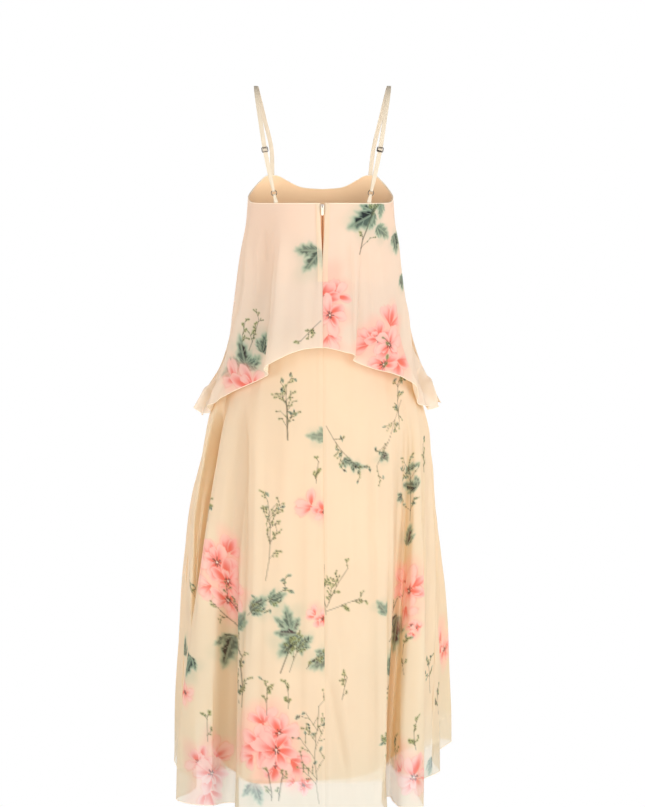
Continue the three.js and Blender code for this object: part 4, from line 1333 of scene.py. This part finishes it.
for name, side in (("left", -1), ("right", 1)):
    at = strap_places(side)
    wire = at(STRAP_LAST)
    add_band(f"band_strap_{name}", f"strap_{name}", strap_band(at))
    low_wire = shifted(wire, 2 * RING_RADIUS, 0, STRAP_AT_RING)
    add_band(f"band_tab_{name}", f"strap_tab_{name}", tab_band(side, low_wire))
    add_ring(f"fitting_ring_{name}", f"ring_{name}", shifted(wire, RING_RADIUS, 0, 0))
    add_refined(f"fitting_adjuster_{name}", f"adjuster_{name}", BRONZE, "metal", 0.35)

# Zip
TOOTH_PITCH = 1.3
TOOTH_RADIUS = 0.36
TOOTH_SIDES = 5
TOOTH_PATH = np.array([(-0.35, -0.35, 0), (0.9, -0.62, 0), (1.7, -0.3, 0)])
TAPE_COLUMNS = (-2.9, -1.4, 0, 1.4, 2.9)
TAPE_IN = 0.2
add_refined("fitting_zip_slider", "zip_slider", STEEL, "metal", 0.4)
add_refined("fitting_zip_pull", "zip_pull", ENAMEL, "enamel", 0.25, PULL_BODY)


def zip_points(z):
    """Middle of the zip at heights, on the back of the bodice and the top of the skirt."""
    top = top_edge_z(np.zeros_like(z))
    upper = bodice_surface(np.zeros_like(z), (z - top) / (WAIST_Z - top))
    lower = skirt_surface(np.full_like(z, run_at(SKIRT_LOOP, 0)), z)
    return np.where((z >= WAIST_Z)[:, None], upper, lower)


middle = zip_points(np.arange(ZIP_TOP_Z, ZIP_END_Z, -TOOTH_PITCH / 2))
tape_lines = np.stack([middle + [x, TAPE_IN, 0] for x in TAPE_COLUMNS], 1)
tape = new_object("zip_tape", tape_lines, grid_faces(*tape_lines.shape[:2]), TAPE)
add_uv(tape, tape_lines[..., [0, 2]])
attach(tape, "zip_tape", "zip_chain")
teeth = [point + TOOTH_PATH * [-1 if i % 2 else 1, 1, 1] for i, point in enumerate(middle)]
add_tubes("zip_coil", teeth, TOOTH_RADIUS, TEETH, "zip_tape", TOOTH_SIDES)

# Stage, light and camera
FLOOR_Z = -1440
FLOOR_RADIUS = 5000
FLOOR_SIDES = 96
FLOOR_TONES = (0.18, 0.2)
WHITE = (1, 1, 1)
SOFT_LIGHT = 0.32
# Lights in metres and watts: place, height aimed at, width and height, power
LIGHTS = {
    "front": ((0, -3.9, -0.8), -0.5, (1.8, 1.8), 92),
    "right": ((2.8, -2.3, -0.2), -0.5, (1.8, 2.0), 84),
    "left": ((-2.8, -2.3, -0.2), -0.5, (1.8, 2.0), 52),
    "right rim": ((3.3, 1.4, -0.4), -0.6, (1.4, 2.2), 52),
    "left rim": ((-3.3, 1.4, -0.4), -0.6, (1.4, 2.2), 62),
    "behind": ((0, 3.2, -0.3), -0.7, (2.8, 2.4), 110),
}


def by_camera(shader, lit, seen):
    """One look for the light and another for the camera."""
    return shader.add("MixShader", Fac=shader.add("LightPath").outputs["Is Camera Ray"], i1=lit, i2=seen)


def add_floor():
    """Pale floor that shows as white to the camera and throws little light back."""
    shader = Shader(bpy.data.materials.new("studio_floor"))
    noise = shader.add("TexNoise", Vector=shader.add("TexCoord").outputs["Object"], Scale=3)
    tone = shader.ramp(noise, *((level,) * 3 for level in FLOOR_TONES))
    paint = shader.add("BsdfPrincipled", Base_Color=tone, Roughness=0.9)
    white = shader.add("Emission", Color=rgba(WHITE), Strength=1)
    angle = np.arange(FLOOR_SIDES) * TURN / FLOOR_SIDES
    rim = [(*ray(at, FLOOR_RADIUS), FLOOR_Z) for at in angle]
    material = shader.finish(by_camera(shader, paint, white))
    new_object("studio_floor", rim, [list(range(FLOOR_SIDES))], material)


def add_world():
    """Soft even light that shows as white to the camera."""
    scene.world = bpy.data.worlds.new("studio")
    shader = Shader(scene.world)
    soft, white = (shader.add("Background", Color=rgba(WHITE), Strength=at) for at in (SOFT_LIGHT, 1))
    shader.finish(by_camera(shader, soft, white), "OutputWorld")


def add_light(name, place, aim_z, size, power):
    light = bpy.data.lights.new(name, "AREA")
    light.shape = "RECTANGLE"
    light.size, light.size_y = size
    light.energy = power
    lamp = bpy.data.objects.new(name, light)
    lamp.location = Vector(place)
    lamp.rotation_euler = (Vector((0, 0, aim_z)) - Vector(place)).to_track_quat("-Z", "Y").to_euler()
    lamp.visible_camera = False
    scene.collection.objects.link(lamp)


def add_camera():
    data = bpy.data.cameras.new("camera")
    data.sensor_width = SENSOR
    data.lens = SENSOR * FOCAL_PX / PHOTO_SIZE[1]
    camera = bpy.data.objects.new("camera", data)
    camera.location = Vector(CAMERA_PLACE) * MM
    camera.rotation_euler = (math.pi / 2 - CAMERA_PITCH, 0, 0)
    scene.collection.objects.link(camera)
    scene.camera = camera


add_floor()
add_world()
for name, setting in LIGHTS.items():
    add_light(name, *setting)
add_camera()
scene.view_settings.view_transform = "Standard"
scene.cycles.diffuse_bounces = 8
scene.cycles.transparent_max_bounces = 16
